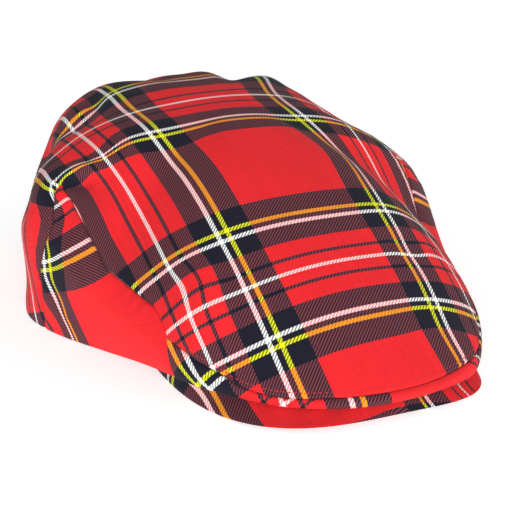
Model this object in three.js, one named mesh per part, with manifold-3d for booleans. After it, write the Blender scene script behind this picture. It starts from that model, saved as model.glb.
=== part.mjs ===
// A soft flat cap of twill cloth, standing on its rim: a one-piece top, a gusset at each side, a narrow strip
// that binds the front edge, and a stiff peak under it.
// Millimetres, +Z up. The front of the cap faces -Y and the wearer's right is -X.
// Azimuths are in degrees round the top of the crown: 0 at the front, 90 at the wearer's right, 180 at the back.

import * as THREE from 'three';
import Module from 'manifold-3d';
import { mergeVertices } from 'three/addons/utils/BufferGeometryUtils.js';

// Walls and seams
const CLOTH = 2;
const PEAK_WALL = 3;
const SEAM_GAP = 0.3;

// Crown: height over its centre, how steeply its top falls towards the front, and the dome round its centre, into
// which the sections melt, by its radius and by how much it curves across the cap and along it
const CROWN_HEIGHT = 92.5;
const CROWN_SLOPE = 0.25;
const DOME = { radius: 45, across: 0.0085, along: 0.0045 };

// Sections of the crown, the same on both sides: the widest point and the rim by radius and height, and how far
// the curve holds level at the top (topPull) and upright at the side (sidePull), as shares of its width and height.
const SECTIONS = [
  { azimuth: 0, widest: 155.5, widestZ: 8.5, topPull: 0.46, sidePull: 0.04, rim: 154.5, rimZ: 6 },
  { azimuth: 15, widest: 148.5, widestZ: 8, topPull: 0.54, sidePull: 0.05, rim: 147, rimZ: 5.5 },
  { azimuth: 30, widest: 131, widestZ: 11, topPull: 0.64, sidePull: 0.11, rim: 129, rimZ: 6 },
  { azimuth: 45, widest: 111, widestZ: 19, topPull: 0.54, sidePull: 0.19, rim: 107, rimZ: 4 },
  { azimuth: 60, widest: 102, widestZ: 28, topPull: 0.4, sidePull: 0.22, rim: 97, rimZ: 1 },
  { azimuth: 90, widest: 103, widestZ: 47, topPull: 0.46, sidePull: 0.48, rim: 99, rimZ: 0 },
  { azimuth: 120, widest: 101, widestZ: 48, topPull: 0.6, sidePull: 0.63, rim: 97, rimZ: 0 },
  { azimuth: 150, widest: 110, widestZ: 56, topPull: 0.78, sidePull: 0.74, rim: 99, rimZ: 0 },
  { azimuth: 180, widest: 113, widestZ: 59, topPull: 0.72, sidePull: 0.66, rim: 98, rimZ: 0 },
];

// Soft folds of the cloth: where each one is, how far it spreads round and along its section, and how much it
// stands out (or sinks in). along is 0 at the top of the crown, 1 at its widest line and 2 at the rim.
const FOLDS = [
  { azimuth: 35, along: 0.68, spread: 8, reach: 0.16, rise: 2 },
  { azimuth: 79, along: 0.95, spread: 7, reach: 0.45, rise: -2.5 },
  { azimuth: 88, along: 0.6, spread: 13, reach: 0.07, rise: -3 },
  { azimuth: 100, along: 2, spread: 14, reach: 0.25, rise: 3.5 },
  { azimuth: 105, along: 0.93, spread: 12, reach: 0.14, rise: -6 },
  { azimuth: 122, along: 0.5, spread: 7, reach: 0.12, rise: -2.5 },
  { azimuth: 124, along: 0.8, spread: 11, reach: 0.13, rise: -7.5 },
  { azimuth: 133, along: 0.5, spread: 7, reach: 0.2, rise: 1 },
  { azimuth: 153, along: 0.47, spread: 6, reach: 0.12, rise: 0.5 },
  { azimuth: 165, along: 0.4, spread: 6, reach: 0.13, rise: -2 },
  { azimuth: 178, along: 0.37, spread: 7, reach: 0.14, rise: 0.5 },
  { azimuth: -168, along: 0.4, spread: 7, reach: 0.14, rise: 1 },
  { azimuth: -154, along: 0.35, spread: 7, reach: 0.14, rise: -5 },
  { azimuth: -136, along: 0.4, spread: 8, reach: 0.14, rise: 3 },
  { azimuth: -124, along: 0.48, spread: 6, reach: 0.12, rise: 1.5 },
  { azimuth: -100, along: 0.53, spread: 9, reach: 0.12, rise: -5.5 },
  { azimuth: -90, along: 0.7, spread: 8, reach: 0.13, rise: -2 },
  { azimuth: -56, along: 0.75, spread: 8, reach: 0.16, rise: -2.5 },
  { azimuth: -16, along: 1.9, spread: 7, reach: 0.6, rise: 2.5 },
];

// Seams of a gusset seen from the side, y forward to back and z: up its front, over the top and down its rear
const GUSSET_SEAM = [
  { y: -95.5, z: -6 },
  { y: -93.5, z: 17 },
  { y: -82, z: 29 },
  { y: -66, z: 34 },
  { y: -49, z: 39.5 },
  { y: -38, z: 46.5 },
  { y: -27, z: 53.5 },
  { y: -19.5, z: 57.5 },
  { y: -12, z: 62 },
  { y: -6, z: 65 },
  { y: -3, z: 66.3 },
  { y: -5, z: 63.5 },
  { y: -8.5, z: 60 },
  { y: -13, z: 54.5 },
  { y: -16, z: 48.5 },
  { y: -14, z: 40.5 },
  { y: -11.5, z: 32.5 },
  { y: -10.5, z: 23 },
  { y: -9.5, z: 14 },
  { y: -8.5, z: 5 },
  { y: -7.5, z: -6 },
];

// Upper seam of the front strip seen from the front, from the middle out to its wider end
const STRIP_SEAM = [
  { x: 0, z: 11 },
  { x: 25, z: 10.5 },
  { x: 45, z: 10 },
  { x: 56, z: 11.5 },
  { x: 62, z: 15 },
  { x: 68, z: 18 },
  { x: 76, z: 25 },
];

// Peak: outline of its floor edge in plan, a superellipse turned a little to the wearer's right by skew in
// degrees, whose left half lies further in under the crown, and the curve that the forehead meets inside it
const PEAK = {
  right: { halfWidth: 70, power: 2.9 },
  left: { halfWidth: 57, power: 3.7 },
  reach: 87.7,
  endsY: -69.8,
  edgeArch: 2.7,
  skew: -3,
};
const FOREHEAD = { inset: 5, endsY: -77, reach: 17, endZ: 4, middleZ: 16 };
const PEAK_CAMBER = 4;
const PEAK_TURN = 0.8;

// How finely each face is divided
const CROWN_COLUMNS = 90;
const CROWN_ROWS = { upper: 14, lower: 5 };
const PEAK_COLUMNS = 44;
const PEAK_ROWS = 10;
const SEAM_STEPS = 48;

const CLOTH_RED = { color: 0xc4232c, roughness: 0.85, metalness: 0 };
const CLOTH_DEEP_RED = { color: 0xa81f28, roughness: 0.85, metalness: 0 };

const wasm = await Module();
wasm.setup();

const { degToRad, euclideanModulo, lerp, radToDeg, smoothstep } = THREE.MathUtils;

// Sections of the crown

const COLUMNS = ['widest', 'widestZ', 'topPull', 'sidePull', 'rim', 'rimZ'];
const sectionTable = new THREE.CubicInterpolant(
  SECTIONS.map((row) => row.azimuth),
  SECTIONS.flatMap((row) => COLUMNS.map((column) => row[column])),
  COLUMNS.length,
);
sectionTable.settings = { endingStart: THREE.ZeroSlopeEnding, endingEnd: THREE.ZeroSlopeEnding };

/** Brings an azimuth into the range from -180 to 180. */
function wrapped(azimuth) {
  return euclideanModulo(azimuth + 180, 360) - 180;
}

/** The table's values at any azimuth. */
function sectionAt(azimuth) {
  const values = sectionTable.evaluate(Math.abs(wrapped(azimuth)));
  return Object.fromEntries(COLUMNS.map((column, k) => [column, values[k]]));
}

/** A section of the crown as two curves in radius and height: top to widest point, widest point to rim. */
function sectionCurves(azimuth) {
  const { widest, widestZ, topPull, sidePull, rim, rimZ } = sectionAt(azimuth);
  const level = topPull * widest;
  const fall = level * CROWN_SLOPE * Math.cos(degToRad(azimuth));
  const widestPoint = new THREE.Vector2(widest, widestZ);
  const upper = new THREE.CubicBezierCurve(
    new THREE.Vector2(0, CROWN_HEIGHT),
    new THREE.Vector2(level, CROWN_HEIGHT - fall),
    new THREE.Vector2(widest, lerp(widestZ, CROWN_HEIGHT, sidePull)),
    widestPoint,
  );
  const lower = new THREE.QuadraticBezierCurve(
    widestPoint,
    new THREE.Vector2(widest, (widestZ + rimZ) / 2),
    new THREE.Vector2(rim, Math.max(rimZ, 0)),
  );
  return { upper, lower };
}

/** How far the folds lift the cloth at a place. */
function foldRise(azimuth, along) {
  return FOLDS.reduce((total, fold) => {
    const round = wrapped(azimuth - fold.azimuth) / fold.spread;
    const down = (along - fold.along) / fold.reach;
    return total + fold.rise * Math.exp(-round * round - down * down);
  }, 0);
}

/** A height of the crown, melted into the dome near the centre. */
function domed(x, y, height) {
  const dome = CROWN_HEIGHT + CROWN_SLOPE * y - (DOME.across * x * x + DOME.along * y * y) / 2;
  return lerp(dome, height, smoothstep(Math.hypot(x, y), 0, DOME.radius));
}

/** Point of the crown's outer face, which never sinks under the floor. */
function crownPoint(azimuth, along) {
  const { upper, lower } = sectionCurves(azimuth);
  const [curve, t] = along <= 1 ? [upper, along] : [lower, along - 1];
  const place = curve.getPoint(t);
  const tangent = curve.getTangent(t);
  const rise = foldRise(azimuth, along);
  const radius = place.x - tangent.y * rise;
  const angle = degToRad(azimuth);
  const [x, y] = [-radius * Math.sin(angle), -radius * Math.cos(angle)];
  return new THREE.Vector3(x, y, Math.max(domed(x, y, place.y + tangent.x * rise), 0));
}

// Walls made from faces

/** Index of the triangles of a quad whose corners go round it anticlockwise, seen from outside. */
function quad(a, b, c, d) {
  return [a, b, c, a, c, d];
}

/** Leaves out the triangles that have shrunk to a line or a point. */
function withoutSlivers(index) {
  const kept = [];
  for (let k = 0; k < index.length; k += 3) {
    const [a, b, c] = index.slice(k, k + 3);
    if (a !== b && b !== c && c !== a) kept.push(a, b, c);
  }
  return kept;
}

/** Unit normal of the face point(u, v), from two short steps across it. */
function faceNormal(point, u, v, [firstRow, lastRow]) {
  const step = 1e-3;
  const low = Math.max(v - step, firstRow + step);
  const high = Math.min(low + 2 * step, lastRow);
  const [left, right] = [Math.max(u - step, -1), Math.min(u + step, 1)];
  const middle = (low + high) / 2;
  const across = point(right, middle).sub(point(left, middle));
  return across.cross(point(u, high).sub(point(u, low))).normalize();
}

/**
 * Closed wall between an outer face and the same face moved inwards, but not under the floor. The face is
 * point(u, v), with u going round from -1 to 1 and v down to the edge that the wall rests on, which stays level.
 * A round wall closes on itself, and its first row is one point, whose normal is top.
 */
function wall({ point, columns, rows, thickness, top }) {
  const ends = [rows[0], rows.at(-1)];
  const outer = [];
  const inner = [];
  const add = (u, v, normal) => {
    outer.push(point(u, v));
    const behind = outer.at(-1).clone().addScaledVector(normal, -thickness);
    inner.push(behind.setZ(Math.max(behind.z, 0)));
  };
  rows.forEach((v, j) => {
    if (top && j === 0) {
      add(0, v, top);
      return;
    }
    for (let i = 0; i < columns + (top ? 0 : 1); i += 1) {
      const u = (2 * i) / columns - 1;
      const normal = faceNormal(point, u, v, ends);
      if (v === ends[1]) normal.setZ(0).normalize();
      add(u, v, normal);
    }
  });

  const count = outer.length;
  const at = (i, j) => {
    if (!top) return j * (columns + 1) + i;
    return j === 0 ? 0 : 1 + (j - 1) * columns + (i % columns);
  };
  const index = [];
  const foot = rows.length - 1;
  for (let i = 0; i < columns; i += 1) {
    for (let j = 0; j < foot; j += 1) {
      const [a, b, c, d] = [at(i, j), at(i + 1, j), at(i + 1, j + 1), at(i, j + 1)];
      index.push(...quad(a, b, c, d), ...quad(count + a, count + d, count + c, count + b));
    }
    const [a, b] = [at(i, foot), at(i + 1, foot)];
    index.push(...quad(a, b, count + b, count + a));
    if (!top) index.push(...quad(i + 1, i, count + i, count + i + 1));
  }
  for (let j = 0; j < foot && !top; j += 1) {
    const [a, b, c, d] = [at(0, j), at(0, j + 1), at(columns, j), at(columns, j + 1)];
    index.push(...quad(a, b, count + b, count + a), ...quad(c, count + c, count + d, d));
  }

  const geometry = new THREE.BufferGeometry().setFromPoints([...outer, ...inner]);
  geometry.setIndex(withoutSlivers(index));
  return geometry;
}

// Joining and cutting

/** The solid of a closed geometry. */
function solidOf(geometry) {
  const bare = geometry.clone();
  bare.deleteAttribute('normal');
  bare.deleteAttribute('uv');
  const merged = mergeVertices(bare);
  return new wasm.Manifold(new wasm.Mesh({
    numProp: 3,
    vertProperties: new Float32Array(merged.attributes.position.array),
    triVerts: new Uint32Array(merged.index.array),
  }));
}

/** The geometry of a solid. */
function geometryOf(solid) {
  const mesh = solid.getMesh();
  const geometry = new THREE.BufferGeometry();
  geometry.setAttribute('position', new THREE.BufferAttribute(mesh.vertProperties, 3));
  geometry.setIndex(new THREE.BufferAttribute(mesh.triVerts, 1));
  geometry.computeVertexNormals();
  return geometry;
}

/** A closed outline moved outwards by a distance, its points going round anticlockwise. */
function grown(outline, distance) {
  return outline.map((point, k) => {
    const before = outline.at(k - 1);
    const after = outline[(k + 1) % outline.length];
    const along = after.clone().sub(before).normalize();
    return new THREE.Vector2(point.x + along.y * distance, point.y - along.x * distance);
  });
}

/** Solid swept from an outline along a direction, from one distance to another. */
function swept(outline, basis, from, to) {
  const geometry = new THREE.ExtrudeGeometry(new THREE.Shape(outline), { depth: to - from, bevelEnabled: false });
  geometry.translate(0, 0, from);
  geometry.applyMatrix4(new THREE.Matrix4().makeBasis(...basis));
  return solidOf(geometry);
}

const X = new THREE.Vector3(1, 0, 0);
const Y = new THREE.Vector3(0, 1, 0);
const Z = new THREE.Vector3(0, 0, 1);
const CUT_NEAR = 25;
const CUT_FAR = 220;

/** Everything inside a gusset's seams, seen from the side: side is -1 for the right gusset and 1 for the left. */
function gussetCut(side, margin) {
  const seam = new THREE.SplineCurve(GUSSET_SEAM.map(({ y, z }) => new THREE.Vector2(y, z)));
  const outline = grown(seam.getPoints(SEAM_STEPS).reverse(), margin);
  const [from, to] = side < 0 ? [-CUT_FAR, -CUT_NEAR] : [CUT_NEAR, CUT_FAR];
  return swept(outline, [Y, Z, X], from, to);
}

/** Everything in front of the crown and under the strip's upper seam, seen from the front. */
function stripCut(margin) {
  const half = STRIP_SEAM.map(({ x, z }) => new THREE.Vector2(x, z));
  const mirrored = half.slice(1).reverse().map(({ x, y }) => new THREE.Vector2(-x, y));
  const seam = new THREE.SplineCurve([...mirrored, ...half]).getPoints(SEAM_STEPS);
  const [first, last] = [seam[0], seam.at(-1)];
  const foot = [new THREE.Vector2(last.x, -SEAM_STEPS), new THREE.Vector2(first.x, -SEAM_STEPS)];
  const outline = grown([...seam, ...foot].reverse(), margin);
  return swept(outline, [X, Z, Y.clone().negate()], CUT_NEAR * 2, CUT_FAR);
}

// Peak

/** Point of a superellipse quarter turned by angle: 1 on its end is (1, 0), its tip (0, 1). */
function superellipse(angle, power) {
  const [s, c] = [Math.sin(angle), Math.cos(angle)];
  return { side: Math.sign(s) * Math.abs(s) ** (2 / power), front: Math.abs(c) ** (2 / power) };
}

/** Point of the peak's upper face: from the forehead (v 0) under the strip (PEAK_TURN) and down to its edge (1). */
function peakPoint(u, v) {
  const angle = (u * Math.PI) / 2;
  const { halfWidth, power } = u < 0 ? PEAK.left : PEAK.right;
  const rim = superellipse(angle, power);
  const edge = new THREE.Vector3(
    -halfWidth * rim.side,
    -PEAK.reach * rim.front,
    PEAK.edgeArch * (1 - rim.side * rim.side),
  );
  edge.applyAxisAngle(Z, degToRad(PEAK.skew)).setY(edge.y + PEAK.endsY);
  const forehead = new THREE.Vector3(
    -(halfWidth - FOREHEAD.inset) * Math.sin(angle),
    FOREHEAD.endsY - FOREHEAD.reach * Math.cos(angle),
    lerp(FOREHEAD.endZ, FOREHEAD.middleZ, Math.cos(angle)),
  );
  const edgeRadius = Math.hypot(edge.x, edge.y);
  const azimuth = radToDeg(Math.atan2(-edge.x, -edge.y));
  const crownRim = crownPoint(azimuth, 2);
  const inset = Math.max(edgeRadius - Math.hypot(crownRim.x, crownRim.y) + CLOTH, SEAM_GAP * 3);
  const shrink = 1 - inset / edgeRadius;
  const turn = new THREE.Vector3(edge.x * shrink, edge.y * shrink, crownRim.z - SEAM_GAP);
  if (v > PEAK_TURN) return turn.lerp(edge, (v - PEAK_TURN) / (1 - PEAK_TURN));
  const camber = forehead.clone().lerp(turn, 0.5);
  camber.z += PEAK_CAMBER * rim.front;
  return new THREE.QuadraticBezierCurve3(forehead, camber, turn).getPoint(v / PEAK_TURN);
}

// Pieces

const even = (count, from, to) => Array.from({ length: count }, (_, k) => lerp(from, to, k / (count - 1)));

const shell = solidOf(wall({
  point: (u, v) => crownPoint(u * 180, v),
  columns: CROWN_COLUMNS,
  rows: [...even(CROWN_ROWS.upper + 1, 0, 1), ...even(CROWN_ROWS.lower + 1, 1, 2).slice(1)],
  thickness: CLOTH,
  top: new THREE.Vector3(0, -CROWN_SLOPE, 1).normalize(),
}));

const peakGeometry = wall({
  point: peakPoint,
  columns: PEAK_COLUMNS,
  rows: even(PEAK_ROWS + 1, 0, 1),
  thickness: PEAK_WALL,
});

const rightOpening = gussetCut(-1, SEAM_GAP);
const leftOpening = gussetCut(1, SEAM_GAP);

const PIECES = [
  {
    name: 'top_panel',
    geometry: geometryOf(shell.subtract(rightOpening).subtract(leftOpening).subtract(stripCut(SEAM_GAP))),
    finish: CLOTH_RED,
  },
  { name: 'side_panel_right', geometry: geometryOf(shell.intersect(gussetCut(-1, 0))), finish: CLOTH_RED },
  { name: 'side_panel_left', geometry: geometryOf(shell.intersect(gussetCut(1, 0))), finish: CLOTH_RED },
  {
    name: 'front_strip',
    geometry: geometryOf(shell.intersect(stripCut(0)).subtract(rightOpening).subtract(leftOpening)),
    finish: CLOTH_DEEP_RED,
  },
  { name: 'peak', geometry: peakGeometry, finish: CLOTH_DEEP_RED },
];

// The origin lies on the resting surface, half way between the tip of the peak and the back of the crown.
const cap = new THREE.Group();
cap.name = 'flat_cap';
cap.position.y = (PEAK.reach - PEAK.endsY - SECTIONS.at(-1).widest) / 2;
for (const { name, geometry, finish } of PIECES) {
  const piece = new THREE.Mesh(geometry, new THREE.MeshStandardMaterial(finish));
  piece.name = name;
  cap.add(piece);
}

export default cap;
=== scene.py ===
"""Dresses a soft tartan flat cap: twill panels, a rolled front strip, a stiff peak and a row of stitches.

Lengths are millimetres in the crown's own frame, whose origin lies under the top of the crown, until a mesh
is made. The front of the cap faces -Y and the wearer's right is -X. Azimuths are in degrees round the top of
the crown: 0 at the front, 90 at the wearer's right, 180 at the back. Along runs down a section: 0 at the top
of the crown, 1 at its widest line, 2 at the rim.
"""

import logging
import math
from dataclasses import astuple, dataclass, field
from enum import Enum

import bpy
import numpy as np
from mathutils import Matrix
from numpy.typing import NDArray

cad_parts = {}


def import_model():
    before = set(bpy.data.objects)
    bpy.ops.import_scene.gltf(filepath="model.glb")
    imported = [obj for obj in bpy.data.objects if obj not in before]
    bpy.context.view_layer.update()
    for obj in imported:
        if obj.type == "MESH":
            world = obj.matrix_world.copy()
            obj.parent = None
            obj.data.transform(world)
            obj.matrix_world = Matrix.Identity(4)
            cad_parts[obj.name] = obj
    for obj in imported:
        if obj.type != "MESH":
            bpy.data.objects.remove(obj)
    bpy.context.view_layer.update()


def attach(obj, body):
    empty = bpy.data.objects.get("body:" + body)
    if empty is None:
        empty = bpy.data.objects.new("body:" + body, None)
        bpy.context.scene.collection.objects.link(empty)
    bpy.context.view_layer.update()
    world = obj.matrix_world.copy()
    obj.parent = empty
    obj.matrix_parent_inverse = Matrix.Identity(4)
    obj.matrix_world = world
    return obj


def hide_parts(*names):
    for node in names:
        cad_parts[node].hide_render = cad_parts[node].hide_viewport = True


Array = NDArray[np.float64]
Indices = NDArray[np.int64]

LOG = logging.getLogger("flat_cap")
BODY = "root"
METRES = 0.001
CROWN_SHIFT_Y = 22.25
CLOTH_WALL = 2.0
PEAK_WALL = 3.0
WIDEST = 1.0
RIM = 2.0
EDGE_ROWS = (0.12, 0.35, 0.7, 1.1, 1.7)
FLATTEN_WEIGHTS = (0.02, 20.0)


class Side(Enum):
    """A side of the cap, by the sign of its azimuths."""

    RIGHT = 1
    LEFT = -1


# Small tools on arrays


def smooth(value: Array) -> Array:
    """Eases a share from 0 to 1 as 3t^2 - 2t^3, held at both ends."""
    t = np.clip(value, 0.0, 1.0)
    return t * t * (3.0 - 2.0 * t)


def wrapped(azimuth: Array) -> Array:
    """Brings azimuths into the range from -180 to 180."""
    return (azimuth + 180.0) % 360.0 - 180.0


def unit(vectors: Array) -> Array:
    """Scales vectors to a length of 1."""
    return vectors / np.maximum(np.linalg.norm(vectors, axis=-1, keepdims=True), 1e-12)


def arc_lengths(line: Array) -> Array:
    """Length along a polyline up to each of its points."""
    steps = np.linalg.norm(np.diff(line, axis=0), axis=1)
    return np.concatenate([[0.0], np.cumsum(steps)])


def edge_graded(count: int, length: float, first: bool = True, last: bool = True) -> Array:
    """Shares from 0 to 1, even but for extra ones at the edge rows' distances from the ends.

    Args:
        count: Number of even shares.
        length: Length in millimetres that the shares divide.
        first: Whether the first end gets the extra shares.
        last: Whether the last end gets them.

    Returns:
        The shares, sorted.
    """
    close = np.array(EDGE_ROWS) / length
    parts = [np.linspace(0.0, 1.0, count)]
    parts += [close] if first else []
    parts += [1.0 - close] if last else []
    return np.unique(np.concatenate(parts))


def spline(points: Array, count: int) -> Array:
    """Catmull-Rom curve through points, sampled evenly in its parameter, with each end point repeated.

    Args:
        points: The points that it passes.
        count: Number of samples.

    Returns:
        The samples.
    """
    last = len(points) - 1
    place = np.linspace(0.0, last, count)
    k = np.minimum(place.astype(int), last - 1)
    t = (place - k)[:, None]
    before, here = points[np.maximum(k - 1, 0)], points[k]
    after, beyond = points[k + 1], points[np.minimum(k + 2, last)]
    slope_here, slope_after = (after - before) / 2.0, (beyond - here) / 2.0
    cubic = 2.0 * here - 2.0 * after + slope_here + slope_after
    square = -3.0 * here + 3.0 * after - 2.0 * slope_here - slope_after
    return cubic * t ** 3 + square * t ** 2 + slope_here * t + here


def spline_weights(place: Array, count: int) -> Array:
    """Matrix that takes count values to Catmull-Rom values between them, with straight ends.

    Args:
        place: Where each value is wanted, in steps of the given ones.
        count: Number of given values.

    Returns:
        One row of weights for each place.
    """
    k = np.clip(np.floor(place).astype(int), 0, count - 2)
    t = place - k
    shares = (
        -0.5 * t + t ** 2 - 0.5 * t ** 3,
        1.0 - 2.5 * t ** 2 + 1.5 * t ** 3,
        0.5 * t + 2.0 * t ** 2 - 1.5 * t ** 3,
        -0.5 * t ** 2 + 0.5 * t ** 3,
    )
    rows = np.arange(len(place))
    weights = np.zeros((len(place), count + 2))
    for step, share in enumerate(shares):
        np.add.at(weights, (rows, k + step), share)
    inner = weights[:, 1:-1].copy()
    inner[:, 0] += 2.0 * weights[:, 0]
    inner[:, 1] -= weights[:, 0]
    inner[:, -1] += 2.0 * weights[:, -1]
    inner[:, -2] -= weights[:, -1]
    return inner


def resampled(table: Array, rows: Array, columns: Array) -> Array:
    """Values between those of a table, smooth both ways.

    Args:
        table: Values on a grid, the last axis holding their parts.
        rows: Wanted rows, in steps of the table's, the same for all columns or one set for each.
        columns: Wanted columns, in steps of the table's.

    Returns:
        The finer table.
    """
    across = spline_weights(columns, table.shape[1])
    drawn = np.einsum("ijc,kj->ikc", table, across, optimize=True)
    places = np.broadcast_to(rows.reshape(len(rows), -1), (len(rows), len(columns)))
    down = spline_weights(places.ravel(), table.shape[0]).reshape(*places.shape, -1)
    return np.einsum("rki,ikc->rkc", down, drawn, optimize=True)


def line_distance(points: Array, line: Array, reach: float = 14.0) -> tuple[Array, Array]:
    """Distance from points to a polyline, and how far along it the nearest place is.

    Args:
        points: The points.
        line: Points of the polyline, evenly close together.
        reach: Distances above this one are only rough.

    Returns:
        Distances, and lengths along the polyline.
    """
    stride = 8
    marks = arc_lengths(line)
    gap = np.full(len(points), np.inf)
    place = np.zeros(len(points))
    for k in range(0, len(line), stride):
        here = np.linalg.norm(points - line[k], axis=1)
        closer = here < gap
        gap[closer], place[closer] = here[closer], marks[k]
    near = np.flatnonzero(gap < reach + stride * marks[-1] / len(line))
    local, best, where = points[near], np.full(len(near), np.inf), np.zeros(len(near))
    for k in range(len(line) - 1):
        step = line[k + 1] - line[k]
        share = np.clip((local - line[k]) @ step / max(step @ step, 1e-12), 0.0, 1.0)
        here = np.linalg.norm(local - line[k] - share[:, None] * step, axis=1)
        closer = here < best
        best[closer] = here[closer]
        where[closer] = (marks[k] + share * (marks[k + 1] - marks[k]))[closer]
    gap[near], place[near] = best, where
    return gap, place


def quads_of(index: Indices) -> Indices:
    """Quads between neighbouring rows and columns of a grid of vertex numbers, facing outwards."""
    a, b = index[:-1, :-1], index[:-1, 1:]
    c, d = index[1:, 1:], index[1:, :-1]
    return np.stack([a, b, c, d], axis=-1).reshape(-1, 4)


def triangles_of(quads: Indices) -> Indices:
    """Two triangles for each quad, less those shrunk to a line."""
    triangles = np.vstack([quads[:, [0, 1, 2]], quads[:, [0, 2, 3]]])
    a, b, c = triangles.T
    return triangles[(a != b) & (b != c) & (c != a)]


def turned(flat: Array, angle: float) -> Array:
    """Flat places turned about the origin by an angle."""
    cosine, sine = math.cos(angle), math.sin(angle)
    return flat @ np.array([[cosine, sine], [-sine, cosine]])


def flatten(points: Array, triangles: Indices, start: Array, stiffness: Array, rounds: int = 60) -> Array:
    """Lays a curved cloth flat with as little stretching as it allows.

    Each triangle is turned as a rigid piece to fit the present layout best, then the layout that fits all the
    turned triangles best is solved for, with cotangent weights, and so on for a number of rounds.

    Args:
        points: Corners of the cloth in space.
        triangles: Corner numbers of its triangles.
        start: A first layout, without overlaps.
        stiffness: How much each triangle resists.
        rounds: Number of rounds.

    Returns:
        The flat place of each corner.
    """
    a, b, c = points[triangles[:, 0]], points[triangles[:, 1]], points[triangles[:, 2]]
    base = np.linalg.norm(b - a, axis=1)
    foot = ((b - a) * (c - a)).sum(axis=1) / base
    height = np.linalg.norm(np.cross(b - a, c - a), axis=1) / base
    first = start[triangles[:, 1]] - start[triangles[:, 0]]
    second = start[triangles[:, 2]] - start[triangles[:, 0]]
    height *= np.sign((first[:, 0] * second[:, 1] - first[:, 1] * second[:, 0]).sum())
    none = np.zeros_like(base)
    shape = ((none, none), (base, none), (foot, height))
    local = np.stack([np.stack(corner, axis=-1) for corner in shape], axis=1)
    pairs = ((0, 1, 2), (1, 2, 0), (2, 0, 1))
    system = np.zeros((len(points), len(points)))
    weights = []
    for i, j, k in pairs:
        one, other = local[:, i] - local[:, k], local[:, j] - local[:, k]
        area = np.abs(one[:, 0] * other[:, 1] - one[:, 1] * other[:, 0])
        cotangent = (one * other).sum(axis=1) / np.maximum(area, 1e-9)
        weight = np.clip(cotangent, *FLATTEN_WEIGHTS) * stiffness
        weights.append(weight)
        for row, column, sign in ((i, i, 1.0), (j, j, 1.0), (i, j, -1.0), (j, i, -1.0)):
            np.add.at(system, (triangles[:, row], triangles[:, column]), sign * weight)
    system[0, 0] += 1.0
    inverse = np.linalg.inv(system)
    layout = start
    for _ in range(rounds):
        dot, cross = np.zeros(len(triangles)), np.zeros(len(triangles))
        for (i, j, _k), weight in zip(pairs, weights):
            edge = local[:, j] - local[:, i]
            laid = layout[triangles[:, j]] - layout[triangles[:, i]]
            dot += weight * (edge * laid).sum(axis=1)
            cross += weight * (edge[:, 0] * laid[:, 1] - edge[:, 1] * laid[:, 0])
        size = np.hypot(dot, cross)
        cosine, sine = dot / size, cross / size
        wanted = np.zeros((len(points), 2))
        for (i, j, _k), weight in zip(pairs, weights):
            edge = local[:, j] - local[:, i]
            across = cosine * edge[:, 0] - sine * edge[:, 1]
            ahead = sine * edge[:, 0] + cosine * edge[:, 1]
            push = np.stack([across, ahead], axis=-1) * weight[:, None]
            np.add.at(wanted, triangles[:, j], push)
            np.add.at(wanted, triangles[:, i], -push)
        wanted[0] += layout[0]
        layout = inverse @ wanted
    return rested(layout, start)


def rested(layout: Array, start: Array) -> Array:
    """Moves and turns a flat layout, as a rigid piece, to where it fits its start best."""
    moved, aim = layout - layout.mean(axis=0), start - start.mean(axis=0)
    cross = (moved[:, 0] * aim[:, 1] - moved[:, 1] * aim[:, 0]).sum()
    angle = math.atan2(cross, (moved * aim).sum())
    return turned(moved, angle) + start.mean(axis=0)


def laid_flat(points: Array, start: Array, across: Array, down: Array) -> Array:
    """Flat places of a fine division of a cloth, found between those of a coarse one that is flattened.

    Args:
        points: Corners of the coarse division, on a grid of rows down and columns across.
        start: A first flat place of each corner, on the same grid.
        across: Fine shares across.
        down: Fine shares down.

    Returns:
        The flat places, row by row.
    """
    rows, columns = points.shape[:2]
    index = np.arange(rows * columns).reshape(rows, columns)
    triangles = triangles_of(quads_of(index))
    laid = flatten(points.reshape(-1, 3), triangles, start.reshape(-1, 2), np.ones(len(triangles)))
    return resampled(laid[index], down * (rows - 1), across * (columns - 1)).reshape(-1, 2)


def fanned(points: Array, turn: Array, drop: Array) -> Array:
    """First flat places of a steep strip: its places from above, moved outwards by a drop at each turn."""
    return np.stack([points[..., 0] - drop * np.sin(turn), drop * np.cos(turn) - points[..., 1]], axis=-1)


# Crown and seams


@dataclass(frozen=True)
class Section:
    """A section of the crown, the same on both sides: its widest point, its rim and its curve's two pulls."""

    azimuth: float
    widest: float
    widest_z: float
    top_pull: float
    side_pull: float
    rim: float
    rim_z: float


@dataclass(frozen=True)
class Fold:
    """A soft fold: where it is, how far it spreads round and along its section, and how far it rises."""

    azimuth: float
    along: float
    spread: float
    reach: float
    rise: float


@dataclass(frozen=True)
class Crease:
    """A crease along a path of azimuths and places along, its half width, and how far it rises."""

    path: tuple[tuple[float, float], ...]
    width: float
    rise: float


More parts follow.
